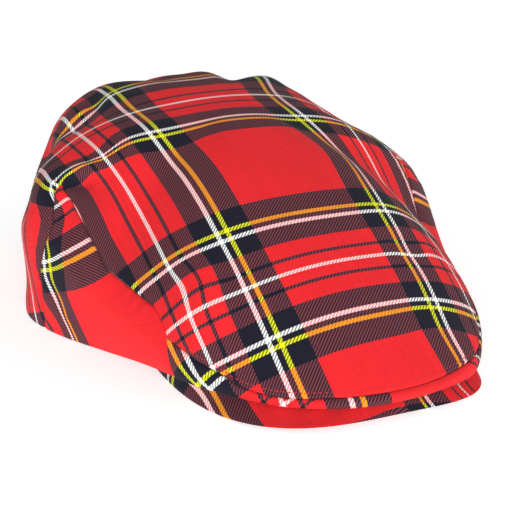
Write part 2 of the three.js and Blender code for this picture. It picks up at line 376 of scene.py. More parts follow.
@dataclass(frozen=True)
class Crown:
    """The cap's body as one face, on which the panels lie."""

    height: float = 92.5
    slope: float = 0.25
    dome_radius: float = 45.0
    dome_across: float = 0.0085
    dome_along: float = 0.0045
    sections: tuple[Section, ...] = (
        Section(0, 155.5, 8.5, 0.46, 0.04, 154.5, 6),
        Section(15, 148.5, 8, 0.54, 0.05, 147, 5.5),
        Section(30, 131, 11, 0.64, 0.11, 129, 6),
        Section(45, 111, 19, 0.54, 0.19, 107, 4),
        Section(60, 102, 28, 0.4, 0.22, 97, 1),
        Section(90, 103, 47, 0.46, 0.48, 99, 0),
        Section(120, 101, 48, 0.6, 0.63, 97, 0),
        Section(150, 110, 56, 0.78, 0.74, 99, 0),
        Section(180, 113, 59, 0.72, 0.66, 98, 0),
    )
    folds: tuple[Fold, ...] = (
        Fold(35, 0.68, 8, 0.16, 2),
        Fold(79, 0.95, 7, 0.45, -2.5),
        Fold(88, 0.6, 13, 0.07, -3),
        Fold(100, 2, 14, 0.25, 3.5),
        Fold(105, 0.93, 12, 0.14, -6),
        Fold(122, 0.5, 7, 0.12, -2.5),
        Fold(124, 0.8, 11, 0.13, -7.5),
        Fold(133, 0.5, 7, 0.2, 1),
        Fold(153, 0.47, 6, 0.12, 0.5),
        Fold(165, 0.4, 6, 0.13, -2),
        Fold(178, 0.37, 7, 0.14, 0.5),
        Fold(-168, 0.4, 7, 0.14, 1),
        Fold(-154, 0.35, 7, 0.14, -5),
        Fold(-136, 0.4, 8, 0.14, 3),
        Fold(-124, 0.48, 6, 0.12, 1.5),
        Fold(-100, 0.53, 9, 0.12, -5.5),
        Fold(-90, 0.7, 8, 0.13, -2),
        Fold(-56, 0.75, 8, 0.16, -2.5),
        Fold(-16, 1.9, 7, 0.6, 2.5),
    )
    creases: tuple[Crease, ...] = (
        Crease(((146, 0.42), (135.5, 0.43), (130.5, 0.44), (127, 0.48),
                (125.5, 0.52), (125.5, 0.57), (129, 0.62)), 7, -3.5),
        Crease(((85, 0.5), (86, 0.55), (89, 0.58), (90.5, 0.62), (92, 0.66)), 4.5, 3.5),
        Crease(((81.5, 0.56), (84.5, 0.61), (86.5, 0.66)), 4, -3),
        Crease(((81, 1.35), (76.5, 1.5), (72.5, 1.65)), 4, -1.5),
    )

    def section_values(self, azimuth: Array) -> Array:
        """Section sizes at any azimuth, by a cubic through the table that is level at the front and the back.

        Args:
            azimuth: Azimuths.

        Returns:
            The widest radius and height, the two pulls, and the rim's radius and height.
        """
        table = np.array([astuple(section) for section in self.sections])
        rows, values = table[:, 0], table[:, 1:]
        at = np.abs(wrapped(azimuth))
        last = len(rows) - 1
        k = np.clip(np.searchsorted(rows, at, side="right") - 1, 0, last - 1)
        before, after = np.where(k > 0, k - 1, 1), np.where(k < last - 1, k + 2, last - 1)
        start, end = rows[k], rows[k + 1]
        earlier = np.where(k > 0, rows[np.maximum(k - 1, 0)], 2.0 * start - end)
        later = np.where(k < last - 1, rows[np.minimum(k + 2, last)], 2.0 * end - start)
        half = (end - start) / 2.0
        rise, fall = half / (start - earlier), half / (later - end)
        t = (at - start) / (end - start)
        shares = (
            (before, -rise * t ** 3 + 2.0 * rise * t ** 2 - rise * t),
            (k, (1.0 + rise) * t ** 3 - (1.5 + 2.0 * rise) * t ** 2 + (rise - 0.5) * t + 1.0),
            (k + 1, -(1.0 + fall) * t ** 3 + (1.5 + fall) * t ** 2 + 0.5 * t),
            (after, fall * t ** 3 - fall * t ** 2),
        )
        return sum(share[..., None] * values[row] for row, share in shares)

    def fold_rise(self, azimuth: Array, along: Array) -> Array:
        """How far the folds lift the cloth: a sum of bell shapes."""
        azimuths, alongs, spreads, reaches, rises = np.array([astuple(fold) for fold in self.folds]).T
        turn = wrapped(azimuth[..., None] - azimuths) / spreads
        down = (along[..., None] - alongs) / reaches
        return (rises * np.exp(-turn ** 2 - down ** 2)).sum(axis=-1)

    def point(self, azimuth: Array, along: Array) -> Array:
        """Points of the outer face.

        A section is a cubic curve from the top to the widest point, level at first and upright at its end,
        and a quadratic one from there to the rim. Folds move it along its own normal, near the top its
        height melts into a dome, and it never sinks under the floor.

        Args:
            azimuth: Azimuths.
            along: Places along the sections.

        Returns:
            The points.
        """
        azimuth, along = np.broadcast_arrays(np.asarray(azimuth, float), np.asarray(along, float))
        widest, widest_z, top_pull, side_pull, rim, rim_z = np.moveaxis(self.section_values(azimuth), -1, 0)
        rim_z = np.maximum(rim_z, 0.0)
        angle = np.radians(azimuth)
        level = top_pull * widest
        upright = widest_z + side_pull * (self.height - widest_z)
        upper = ((0.0, self.height), (level, self.height - level * self.slope * np.cos(angle)),
                 (widest, upright), (widest, widest_z))
        lower = ((widest, widest_z), (widest, (widest_z + rim_z) / 2.0), (rim, rim_z))
        s, q = np.clip(along, 0.0, 1.0), np.clip(along - 1.0, 0.0, 1.0)
        is_low = along > WIDEST
        upper_shares = ((1 - s) ** 3, 3 * s * (1 - s) ** 2, 3 * s ** 2 * (1 - s), s ** 3)
        upper_slopes = (-3 * (1 - s) ** 2, 3 * (1 - s) ** 2 - 6 * s * (1 - s),
                        6 * s * (1 - s) - 3 * s ** 2, 3 * s ** 2)
        lower_shares = ((1 - q) ** 2, 2 * q * (1 - q), q ** 2)
        lower_slopes = (-2 * (1 - q), 2 - 4 * q, 2 * q)

        def mixed(part: int, over: tuple, under: tuple) -> Array:
            """Sum of shares of the corner points, of the upper or of the lower curve."""
            high = sum(share * corner[part] for share, corner in zip(over, upper))
            low = sum(share * corner[part] for share, corner in zip(under, lower))
            return np.where(is_low, low, high)

        radius, z = mixed(0, upper_shares, lower_shares), mixed(1, upper_shares, lower_shares)
        out, down = mixed(0, upper_slopes, lower_slopes), mixed(1, upper_slopes, lower_slopes)
        rise = self.fold_rise(azimuth, along) / np.hypot(out, down)
        radius, z = radius - down * rise, z + out * rise
        x, y = -radius * np.sin(angle), -radius * np.cos(angle)
        dome = self.height + self.slope * y - (self.dome_across * x ** 2 + self.dome_along * y ** 2) / 2.0
        melted = dome + (z - dome) * smooth(np.hypot(x, y) / self.dome_radius)
        return np.stack([x, y, np.maximum(melted, 0.0)], axis=-1)

    def normal(self, azimuth: Array, along: Array) -> Array:
        """Outward normals, from short steps round and along the face."""
        turn_step, fall_step, top_reach = 0.1, 0.002, 0.006
        near = np.clip(along, 2.0 * top_reach, RIM - fall_step)
        turn = self.point(azimuth + turn_step, near) - self.point(azimuth - turn_step, near)
        fall = self.point(azimuth, near + fall_step) - self.point(azimuth, near - fall_step)
        across = unit(np.cross(turn, fall))
        top = unit(np.array([0.0, -self.slope, 1.0]))
        return np.where((along < top_reach)[..., None], top, across)

    def rim_distance(self, points: Array, azimuth: Array, along: Array) -> Array:
        """Distance to the rim straight below, for places under the widest line."""
        rim = self.point(azimuth, np.full_like(along, RIM))
        return np.where(along > WIDEST, np.linalg.norm(points - rim, axis=1), np.inf)

    def locate(
        self, target: Array, axes: list[int], azimuth: Array, along: Array,
    ) -> tuple[Array, Array, Array]:
        """Finds the places of the face that have two given coordinates, by Newton's steps.

        Args:
            target: The two coordinates of each place.
            axes: Which coordinates they are.
            azimuth: Azimuths to start from.
            along: Places along the sections to start from.

        Returns:
            Azimuths, places along the sections, and what is left of the distance.
        """
        rounds, turn_step, fall_step, least_scale = 30, 0.01, 1e-4, 1e-6
        most_turn, most_fall, least_along, most_along = 4.0, 0.1, 0.05, 2.2
        azimuth, along = np.array(azimuth, float), np.array(along, float)
        for _ in range(rounds):
            here = self.point(azimuth, along)[..., axes]
            by_turn = (self.point(azimuth + turn_step, along)[..., axes] - here) / turn_step
            by_fall = (self.point(azimuth, along + fall_step)[..., axes] - here) / fall_step
            gap = target - here
            scale = by_turn[..., 0] * by_fall[..., 1] - by_turn[..., 1] * by_fall[..., 0]
            scale = np.where(np.abs(scale) < least_scale, least_scale, scale)
            turn = (gap[..., 0] * by_fall[..., 1] - gap[..., 1] * by_fall[..., 0]) / scale
            fall = (by_turn[..., 0] * gap[..., 1] - by_turn[..., 1] * gap[..., 0]) / scale
            azimuth += np.clip(turn, -most_turn, most_turn)
            along = np.clip(along + np.clip(fall, -most_fall, most_fall), least_along, most_along)
        return azimuth, along, np.abs(self.point(azimuth, along)[..., axes] - target).max(axis=-1)

    def crease_rise(self, points: Array) -> Array:
        """How far the creases lift the cloth: a bell shape across each, fading at its ends."""
        rise = np.zeros(len(points))
        for crease in self.creases:
            steps, reach = 10 * len(crease.path), 3.0 * crease.width
            places = spline(np.array(crease.path), steps)
            line = self.point(places[:, 0], places[:, 1])
            gap, place = line_distance(points, line, reach)
            ends = np.sin(np.pi * np.clip(place / arc_lengths(line)[-1], 0.0, 1.0))
            rise += crease.rise * ends * np.exp(-(gap / crease.width) ** 2)
        return rise


@dataclass
class Seams:
    """Seam lines on the crown, each as azimuths and places along the sections."""

    crown: Crown
    gusset_points: tuple[tuple[float, float], ...] = (
        (-95.5, -6), (-93.5, 17), (-82, 29), (-66, 34), (-49, 39.5), (-38, 46.5), (-27, 53.5),
        (-19.5, 57.5), (-12, 62), (-6, 65), (-3, 66.3), (-5, 63.5), (-8.5, 60), (-13, 54.5),
        (-16, 48.5), (-14, 40.5), (-11.5, 32.5), (-10.5, 23), (-9.5, 14), (-8.5, 5), (-7.5, -6),
    )
    strip_points: tuple[tuple[float, float], ...] = (
        (0, 11), (25, 10.5), (45, 10), (56, 11.5), (62, 15), (68, 18), (76, 25),
    )
    strip_steps: int = 161
    gusset_steps: int = 521
    strip: Array = field(init=False)
    front_edge: dict[Side, Array] = field(init=False, default_factory=dict)
    over: dict[Side, Array] = field(init=False, default_factory=dict)
    rear_edge: dict[Side, Array] = field(init=False, default_factory=dict)

    def __post_init__(self) -> None:
        """Finds each seam on the crown from its view from the side or from the front."""
        front_reach, least_depth, near_along = 155.0, 60.0, 0.9
        half = np.array(self.strip_points)
        path = spline(np.vstack([half[:0:-1] * [-1.0, 1.0], half]), self.strip_steps)
        depth = np.sqrt(np.maximum(front_reach ** 2 - 4.0 * path[:, 0] ** 2, least_depth ** 2))
        guess = np.degrees(np.arctan2(-path[:, 0], depth))
        azimuth, along, _gap = self.crown.locate(path, [0, 2], guess, np.full(len(path), near_along))
        self.strip = np.stack([azimuth, along], axis=-1)[::-1]
        for side in Side:
            self._split_gusset(side)

    def _split_gusset(self, side: Side) -> None:
        """Finds a gusset's seam and parts it at the strip's seam and at the gusset's tip.

        Args:
            side: Which gusset.
        """
        half_width, near_along, close, tip_within = 90.0, 1.1, 0.01, 0.75
        path = spline(np.array(self.gusset_points), self.gusset_steps)
        guess = side.value * np.degrees(np.arctan2(half_width, -path[:, 0]))
        azimuth, along, gap = self.crown.locate(path, [1, 2], guess, np.full(len(path), near_along))
        found = gap < close
        line = np.stack([azimuth[found], along[found]], axis=-1)
        first = line[0] + (line[1] - line[0]) * (RIM - line[0, 1]) / (line[1, 1] - line[0, 1])
        last = line[-1] + (line[-1] - line[-2]) * (RIM - line[-1, 1]) / (line[-1, 1] - line[-2, 1])
        line = np.vstack([first, line, last])
        above = line[:, 1] - np.interp(line[:, 0], self.strip[:, 0], self.strip[:, 1])
        cross = int(np.flatnonzero(above < 0.0)[0])
        share = above[cross - 1] / (above[cross - 1] - above[cross])
        junction = line[cross - 1] + share * (line[cross] - line[cross - 1])
        tip = int(np.argmax(np.abs(line[: int(len(line) * tip_within), 0])))
        self.front_edge[side] = np.vstack([junction, line[:cross][::-1]])
        self.over[side] = np.vstack([junction, line[cross:tip + 1]])
        self.rear_edge[side] = line[tip:]

    def junction(self, side: Side) -> Array:
        """Where the strip's seam meets a gusset's."""
        return self.over[side][0]

    def tip(self, side: Side) -> Array:
        """The rearmost point of a gusset."""
        return self.over[side][-1]

    def at_shares(self, line: Array, shares: Array) -> Array:
        """Places of a seam line at shares of its length in space."""
        marks = arc_lengths(self.crown.point(line[:, 0], line[:, 1]))
        wanted = shares * marks[-1]
        return np.stack([np.interp(wanted, marks, line[:, 0]), np.interp(wanted, marks, line[:, 1])], axis=-1)

    def in_space(self, line: Array, step: float = 1.2) -> Array:
        """Points of a seam line in space, a step apart."""
        length = arc_lengths(self.crown.point(line[:, 0], line[:, 1]))[-1]
        places = self.at_shares(line, np.linspace(0.0, 1.0, int(length / step) + 2))
        return self.crown.point(places[:, 0], places[:, 1])

    def strip_between(self) -> Array:
        """The strip's seam from one gusset to the other, from the wearer's left to the right."""
        left, right = self.junction(Side.LEFT), self.junction(Side.RIGHT)
        inside = (self.strip[:, 0] > left[0]) & (self.strip[:, 0] < right[0])
        return np.vstack([left, self.strip[inside], right])

    def rim_between(self, start: float, end: float, shares: Array) -> Array:
        """Places of the rim between two azimuths."""
        return np.stack([start + (end - start) * shares, np.full_like(shares, RIM)], axis=-1)


def coons(top: Array, bottom: Array, left: Array, right: Array, across: Array, down: Array) -> Array:
    """Patch between four lines: the two ruled patches added up, less the one ruled between the corners.

    Args:
        top: Upper line, one place for each share across.
        bottom: Lower line.
        left: First side line, one place for each share down.
        right: Last side line.
        across: Shares across.
        down: Shares down.

    Returns:
        Places on a grid, rows down and columns across.
    """
    s, t = across[None, :, None], down[:, None, None]
    ruled = (1 - t) * top[None] + t * bottom[None] + (1 - s) * left[:, None] + s * right[:, None]
    upper = (1 - s) * (1 - t) * top[0] + s * (1 - t) * top[-1]
    lower = (1 - s) * t * bottom[0] + s * t * bottom[-1]
    return ruled - upper - lower


# Cloth


@dataclass(frozen=True)
class Pull:
    """A place on the tartan where the sewn cloth is drawn aside, how far that fades, and by how much."""

    across: float
    ahead: float
    spread: float
    by_across: float
    by_ahead: float


def drawn(cloth: Array, pulls: tuple[Pull, ...]) -> Array:
    """Tartan coordinates with the cloth drawn aside by a bell shape at each pull."""
    moved = cloth.copy()
    for pull in pulls:
        bell = np.exp(-((cloth - [pull.across, pull.ahead]) ** 2).sum(axis=1) / pull.spread ** 2)
        moved += bell[:, None] * [pull.by_across, pull.by_ahead]
    return moved


@dataclass(frozen=True)
class Grain:
    """How the tartan lies on a flattened panel: where its centre comes, its turn, and its pulls."""

    across: float
    ahead: float
    turn: float
    pulls: tuple[Pull, ...] = ()

    def weave(self, flat: Array) -> Array:
        """Flat places along the yarns, before any pull."""
        return turned(flat - np.array([self.across, self.ahead]), -math.radians(self.turn))

    def cloth(self, flat: Array) -> Array:
        """Tartan coordinates of flat places."""
        return drawn(self.weave(flat), self.pulls)


@dataclass(frozen=True)
class GussetGrain:
    """How the tartan lies on a flattened gusset: turned about a place, and turned further towards its top.

    The cloth is also eased, so that the tartan runs slower, beyond a place on its way to the front.
    """

    about: tuple[float, float] = (15.35, 57.03)
    tartan: tuple[float, float] = (61.24, -28.82)
    turn: float = 18.84
    top_turn: float = 43.4
    turn_from: float = 22.85
    turn_over: float = 42.7
    eased_from: float = -26.0
    ease: float = 0.82
    pulls: tuple[Pull, ...] = (
        Pull(8, -45, 14.5, 0, -11),
        Pull(48, -27, 9, 0, 6),
    )

    def weave(self, flat: Array, side: Side) -> Array:
        """Flat places along the yarns, turned evenly by as much as half way up the gusset."""
        angle = math.radians(self.turn + self.top_turn / 2.0)
        ahead, up = flat.T
        return np.stack([up * math.cos(angle) - ahead * math.sin(angle),
                         (up * math.sin(angle) + ahead * math.cos(angle)) * side.value], axis=-1)

    def cloth(self, flat: Array, side: Side) -> Array:
        """Tartan coordinates of flat places.

        Args:
            flat: Flat places, ahead and up.
            side: Which gusset.

        Returns:
            The coordinates, mirrored for the left gusset.
        """
        angle = np.radians(self.turn + self.top_turn * smooth((flat[:, 1] - self.turn_from) / self.turn_over))
        ahead, up = (flat - np.array(self.about)).T
        across = self.tartan[0] - ahead * np.sin(angle) + up * np.cos(angle)
        along = self.tartan[1] + ahead * np.cos(angle) + up * np.sin(angle)
        beyond = np.maximum(along - self.eased_from, 0.0)
        plain = np.stack([across, along - (1.0 - self.ease) * beyond], axis=-1)
        return drawn(plain, self.pulls) * [1.0, side.value]


@dataclass
class ClothMesh:
    """A wall of cloth: its outer face, the same face moved inwards, and the edge that joins them."""

    name: str
    node: str
    outer: Array
    inner: Array
    quads: Indices
    cloth: Array
    weave: Array

    def border(self) -> Indices:
        """Edges of the outer face that only one face uses, in that face's direction."""
        ring = np.vstack([self.quads[:, [k, (k + 1) % 4]] for k in range(4)])
        ring = ring[ring[:, 0] != ring[:, 1]]
        low, high = ring.min(axis=1), ring.max(axis=1)
        _, first, count = np.unique(low * len(self.outer) + high, return_index=True, return_counts=True)
        return ring[first[count == 1]]

    def build(self, material: bpy.types.Material) -> bpy.types.Object:
        """Makes the closed mesh, with its places on the tartan and along the yarns, in metres, as UV maps.

        Args:
            material: Finish of the cloth.

        Returns:
            The object, riding on the cap in place of its CAD node.
        """
        count = len(self.outer)
        edges = self.border()
        rim = np.stack([edges[:, 1], edges[:, 0], edges[:, 0] + count, edges[:, 1] + count], axis=-1)
        quads = np.vstack([self.quads, self.quads[:, ::-1] + count, rim])
        points = (np.vstack([self.outer, self.inner]) + [0.0, CROWN_SHIFT_Y, 0.0]) * METRES
        points[:, 2] = np.maximum(points[:, 2], 0.0)
        is_quad = (quads[:, 0] != quads[:, 1]) & (quads[:, 2] != quads[:, 3])
        pole = quads[~is_quad]
        corners = [list(dict.fromkeys(face)) for face in pole.tolist()]
        mesh = bpy.data.meshes.new(self.name)
        mesh.from_pydata(points.tolist(), [], quads[is_quad].tolist() + corners)
        loops = np.empty(len(mesh.loops), dtype=np.int32)
        mesh.loops.foreach_get("vertex_index", loops)
        for name, places in (("cloth", self.cloth), ("weave", self.weave)):
            layer = mesh.uv_layers.new(name=name)
            both = np.vstack([places, places]) * METRES
            layer.data.foreach_set("uv", both[loops].astype(np.float32).ravel())
        return placed(mesh, material, self.node)


def placed(mesh: bpy.types.Mesh, material: bpy.types.Material, node: str | None) -> bpy.types.Object:
    """Puts a mesh into the scene as a smooth piece of the cap.

    Args:
        mesh: The mesh, in metres in the cap's frame.
        material: Its finish.
        node: CAD node that it stands for, if any.

    Returns:
        The object.
    """
    mesh.polygons.foreach_set("use_smooth", np.ones(len(mesh.polygons), dtype=bool))
    mesh.materials.append(material)
    mesh.update()
    piece = bpy.data.objects.new(mesh.name, mesh)
    bpy.context.scene.collection.objects.link(piece)
    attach(piece, BODY)
    if node is not None:
        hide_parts(node)
    LOG.info("%s: %d faces", piece.name, len(mesh.polygons))
    return piece


@dataclass(frozen=True)
class ClothEdge:
    """How sewn cloth behaves at its edges: rounded walls, a tuck at seams and small puckers beside them."""

    half_wall: float = CLOTH_WALL / 2.0
    blunt: float = 0.15
    tuck: float = 0.7
    tuck_reach: float = 1.6
    tuck_power: float = 1.3
    pucker: float = 0.28
    pucker_reach: float = 6.0
    pucker_onset: float = 1.5
    pucker_length: float = 7.5

    def seam_rise(self, gap: Array, place: Array) -> Array:
        """Lift beside a seam: a tuck that fades away from it, and puckers along it as an uneven sine."""
        tuck = -self.tuck * np.exp(-(gap / self.tuck_reach) ** self.tuck_power)
        wave = place / self.pucker_length * 2.0 * np.pi
        shifted = wave + 0.9 * np.sin(wave / 3.3 + 0.7)
        strength = 0.65 + 0.35 * np.sin(wave / 4.7)
        fade = np.exp(-gap / self.pucker_reach) * smooth(gap / self.pucker_onset)
        return tuck + self.pucker * np.sin(shifted) * strength * fade

    def walls(self, points: Array, normals: Array, rise: Array, edge_gap: Array) -> tuple[Array, Array]:
        """Outer and inner faces, whose distance closes to a half round at the edge.

        Args:
            points: Points of the plain outer face.
            normals: Its outward normals.
            rise: How far the cloth is lifted.
            edge_gap: Distance to the nearest edge.

        Returns:
            The outer and the inner points.
        """
        share = np.clip(edge_gap / self.half_wall, 0.0, 1.0)
        swell = self.half_wall * np.maximum(np.sqrt(1.0 - (1.0 - share) ** 2), self.blunt)
        middle = rise - self.half_wall
        return points + normals * (middle + swell)[:, None], points + normals * (middle - swell)[:, None]


def slow_waves(points: Array) -> Array:
    """Gentle unevenness of soft cloth: three crossing waves, together up to half a millimetre high."""
    x, y, z = points.T
    first = np.sin(x / 8.3 + 0.6) * np.sin(y / 11.7 + z / 15.0 + 1.9)
    second = np.sin((x + y) / 14.1 + 2.2) * np.sin((y - z) / 9.6 + 0.3)
    third = np.sin((x - z) / 19.3 + 1.1) * np.sin((y + x) / 23.0 + 2.8)
    return 0.12 * first + 0.16 * second + 0.2 * third


@dataclass
class TopPanel:
    """The long piece from the front edge over the crown and down the back to the rim."""

    crown: Crown
    seams: Seams
    edge: ClothEdge
    grain: Grain = Grain(across=-1.56, ahead=43.51, turn=0.627, pulls=(
        Pull(-18, -59, 34, 3, -8),
        Pull(45, -11, 28, -9, 4.5),
        Pull(-79, -44, 27, 2, 3),
        Pull(-57, 54, 11, -3, 2.5),
        Pull(-55, -108, 20, -5.5, 0),
        Pull(43, 63, 8, 1.5, -2),
        Pull(-54, 75, 26, -0.5, -2),
        Pull(50, 56, 27, 1, 2.5),
        Pull(32, 104, 17, 3, 2.5),
        Pull(27, -48, 35, 8, -7.5),
        Pull(-96, -42, 12, 4, 2),
        Pull(-117, -37, 17, 0, -11),
        Pull(-92, 6, 16, 1.5, 0),
        Pull(-84, -29, 12, 0, 10),
        Pull(-58, -24, 13, 0, 5.5),
        Pull(-76, -44, 9, 0, -7),
        Pull(-66, -45, 9, 0, -6),
        Pull(-66, 14, 20, 0, 3.5),
    ))
    slack: float = 0.97
    slack_behind_y: float = 20.0
    slack_over_y: float = 60.0
    slack_below_z: float = 60.0
    slack_over_z: float = 30.0
    seam_gap: float = 0.03
    section_length: float = 90.0
    rear_gap_turn: float = 0.1
    rear_gap_over: float = 20.0
    bend_over: float = 40.0
    level_over: float = 45.0
    wave_onset: float = 12.0
    stitch_rows: tuple[float, ...] = (1.9,)
    stitch_dip: float = 0.15
    stitch_reach: float = 0.55
    front_count: int = 191
    rear_count: int = 176
    rear_length: float = 320.0
    upper_count: int = 80
    upper_length: float = 115.0
    lower_count: int = 44
    lower_length: float = 80.0
    coarse_steps: tuple[int, int, int, int] = (52, 54, 20, 14)

    def _ends(self, azimuth: Array) -> Array:
        """Where the upper part of the panel ends: at the strip, a gusset, or a level line round the back.

        Args:
            azimuth: Azimuths.

        Returns:
            Places along the sections.
        """
        strip = self.seams.strip_between()
        end = np.interp(azimuth, strip[:, 0], strip[:, 1])
        for side in Side:
            turn = azimuth * side.value
            over = self.seams.over[side]
            tip_turn, tip_along = abs(self.seams.tip(side)[0]), self.seams.tip(side)[1]
            start = abs(self.seams.junction(side)[0])
            over_end = np.interp(turn, np.abs(over[:, 0]), over[:, 1])
            level = tip_along + (WIDEST - tip_along) * smooth((turn - tip_turn) / self.level_over)
            end = np.where(turn > start, np.where(turn > tip_turn, level, over_end), end)
        return end

    def layout(
        self, front: Array, rear: Array, upper: Array, lower: Array,
    ) -> tuple[Array, Array, Indices, Indices]:
        """Divides the panel into an upper part all round and a skirt behind the gussets.

        Columns fan out from the top. The upper part ends at the seams in front and at a level line behind. In
        the skirt, the columns beside a gusset bend to follow its rear seam.

        Args:
            front: Shares across the front, from the left gusset's tip to the right one's.
            rear: Shares round the back, from the right tip to the left one.
            upper: Shares down the upper part.
            lower: Shares down the skirt.

        Returns:
            Azimuths and places along of all vertices, and the vertex numbers of the two parts.
        """
        right = self.seams.tip(Side.RIGHT)[0]
        left = self.seams.tip(Side.LEFT)[0]
        back = right + rear * (360.0 + left - right)
        turn = np.concatenate([left + front * (right - left), back[1:-1]])
        end = self._ends(wrapped(turn)) - self.seam_gap / self.section_length
        turns = np.broadcast_to(turn, (len(upper), len(turn)))
        alongs = upper[:, None] * end
        skirt_columns = np.append(np.arange(len(front) - 1, len(turn)), 0)
        skirt_end = end[skirt_columns]
        skirt_along = skirt_end + lower[:, None] * (RIM - skirt_end)
        bend = np.zeros_like(skirt_along)
        for side, gap in ((Side.RIGHT, back - right), (Side.LEFT, 360.0 + left - back)):
            rear_line = self.seams.rear_edge[side]
            seam = np.interp(skirt_along, rear_line[:, 1], rear_line[:, 0])
            bend += (seam - self.seams.tip(side)[0]) * (1.0 - smooth(gap / self.bend_over))
            bend += side.value * self.rear_gap_turn * (1.0 - smooth(gap / self.rear_gap_over))
        azimuth = np.concatenate([[0.0], turns[1:].ravel(), (back + bend)[1:].ravel()])
        along = np.concatenate([[0.0], alongs[1:].ravel(), skirt_along[1:].ravel()])
        count, rows = len(turn), len(upper) - 1
        ring = np.vstack([np.zeros((1, count), int), 1 + np.arange(rows * count).reshape(rows, count)])
        top_index = np.hstack([ring, ring[:, :1]])
        skirt = 1 + rows * count + np.arange((len(lower) - 1) * len(back)).reshape(-1, len(back))
        return azimuth, along, top_index, np.vstack([top_index[-1][skirt_columns], skirt])

    def _flat(self, front: Array, rear: Array, upper: Array, lower: Array) -> Array:
        """Flattens the panel on a coarse division, then finds the flat places of a fine one between them.

        The start is each place's distance from the top at its azimuth. Cloth low at the back is left slack,
        since there the real panel is gathered. A fine row is sought by how far down it lies, because the two
        divisions end at slightly different places between the coarse columns.

        Args:
            front: Fine shares across the front.
            rear: Fine shares round the back.
            upper: Fine shares down the upper part.
            lower: Fine shares down the skirt.

        Returns:
            Flat places of the fine division's vertices, the top at the origin and the front ahead.
        """
        path_samples, straight_from, overlap = 60, 6, 2
        front_steps, rear_steps, upper_steps, lower_steps = self.coarse_steps
        even = [np.linspace(0.0, 1.0, steps + 1) for steps in self.coarse_steps]
        azimuth, along, top_index, skirt_index = self.layout(*even)
        points = self.crown.point(azimuth, along)
        triangles = triangles_of(np.vstack([quads_of(top_index), quads_of(skirt_index)]))
        path = self.crown.point(azimuth[:, None], along[:, None] * np.linspace(0.0, 1.0, path_samples))
        reach = np.linalg.norm(np.diff(path, axis=1), axis=2).sum(axis=1)
        angle = np.radians(azimuth)
        start = np.stack([-reach * np.sin(angle), reach * np.cos(angle)], axis=-1)
        middle = points[triangles].mean(axis=1)
        behind = smooth((middle[:, 1] - self.slack_behind_y) / self.slack_over_y)
        low = smooth((self.slack_below_z - middle[:, 2]) / self.slack_over_z)
        flat = flatten(points, triangles, start, 1.0 - self.slack * behind * low)
        centre = flat[top_index[:, front_steps // 2]]
        ahead = centre[-1] - centre[straight_from]
        flat = turned(flat - flat[0], math.atan2(ahead[0], ahead[1]))
        flat[:, 0] -= flat[top_index[straight_from:, front_steps // 2], 0].mean()
        ring = np.hstack([top_index[:, -overlap - 1:-1], top_index, top_index[:, 1:overlap + 1]])
        columns = overlap + np.concatenate([front * front_steps, front_steps + rear[1:-1] * rear_steps])
        _azimuth, fine_along, fine_index, _skirt = self.layout(front, rear, upper, lower)
        coarse_ends = spline_weights(columns, ring.shape[1]) @ along[ring[-1]]
        rows = upper[:, None] * (fine_along[fine_index[-1, :-1]] / coarse_ends) * upper_steps
        fine_top = resampled(flat[ring], rows, columns)
        fine_skirt = resampled(flat[skirt_index], lower * lower_steps, rear * rear_steps)
        return np.vstack([fine_top[0, :1], fine_top[1:].reshape(-1, 2), fine_skirt[1:].reshape(-1, 2)])

    def build(self, material: bpy.types.Material) -> bpy.types.Object:
        """Builds the panel, tucked at its seams, dipped under its topstitching and rounded at its edges.

        Args:
            material: Finish of the cloth.

        Returns:
            The panel.
        """
        front = np.linspace(0.0, 1.0, self.front_count)
        rear = edge_graded(self.rear_count, self.rear_length)
        upper = edge_graded(self.upper_count, self.upper_length, first=False)
        lower = edge_graded(self.lower_count, self.lower_length, first=False)
        azimuth, along, top_index, skirt_index = self.layout(front, rear, upper, lower)
        quads = np.vstack([quads_of(top_index), quads_of(skirt_index)])
        points, normals = self.crown.point(azimuth, along), self.crown.normal(azimuth, along)
        flat = self._flat(front, rear, upper, lower)
        rise, seam_gap = self.rise(points)
        edge_gap = np.minimum(seam_gap, self.rim_gap(along, points))
        outer, inner = self.edge.walls(points, normals, rise, edge_gap)
        cloth, weave = self.grain.cloth(flat), self.grain.weave(flat)
        piece = ClothMesh("top_cloth", "top_panel", outer, inner, quads, cloth, weave).build(material)
        declare_sheet(flat)
        return piece

    def rim_gap(self, along: Array, points: Array) -> Array:
        """Rough distance to the rim: the height over the floor, below the widest line."""
        return np.where(along > WIDEST, points[:, 2], np.inf)

    def rise(self, points: Array) -> tuple[Array, Array]:
        """How far the cloth is lifted off the plain crown, and how far away its nearest seam is.

        Args:
            points: Points of the crown.

        Returns:
            Lifts and distances.
        """
        seam_gap, _place = line_distance(points, self.seams.in_space(self.seams.strip_between()))
        rise = slow_waves(points) * smooth(seam_gap / self.wave_onset) + self.crown.crease_rise(points)
        for row in self.stitch_rows:
            rise -= self.stitch_dip * np.exp(-((seam_gap - row) / self.stitch_reach) ** 2)
        for side in Side:
            line = np.vstack([self.seams.over[side], self.seams.rear_edge[side][1:]])
            gap, place = line_distance(points, self.seams.in_space(line))
            rise += self.edge.seam_rise(gap, place)
            seam_gap = np.minimum(seam_gap, gap)
        return rise, seam_gap


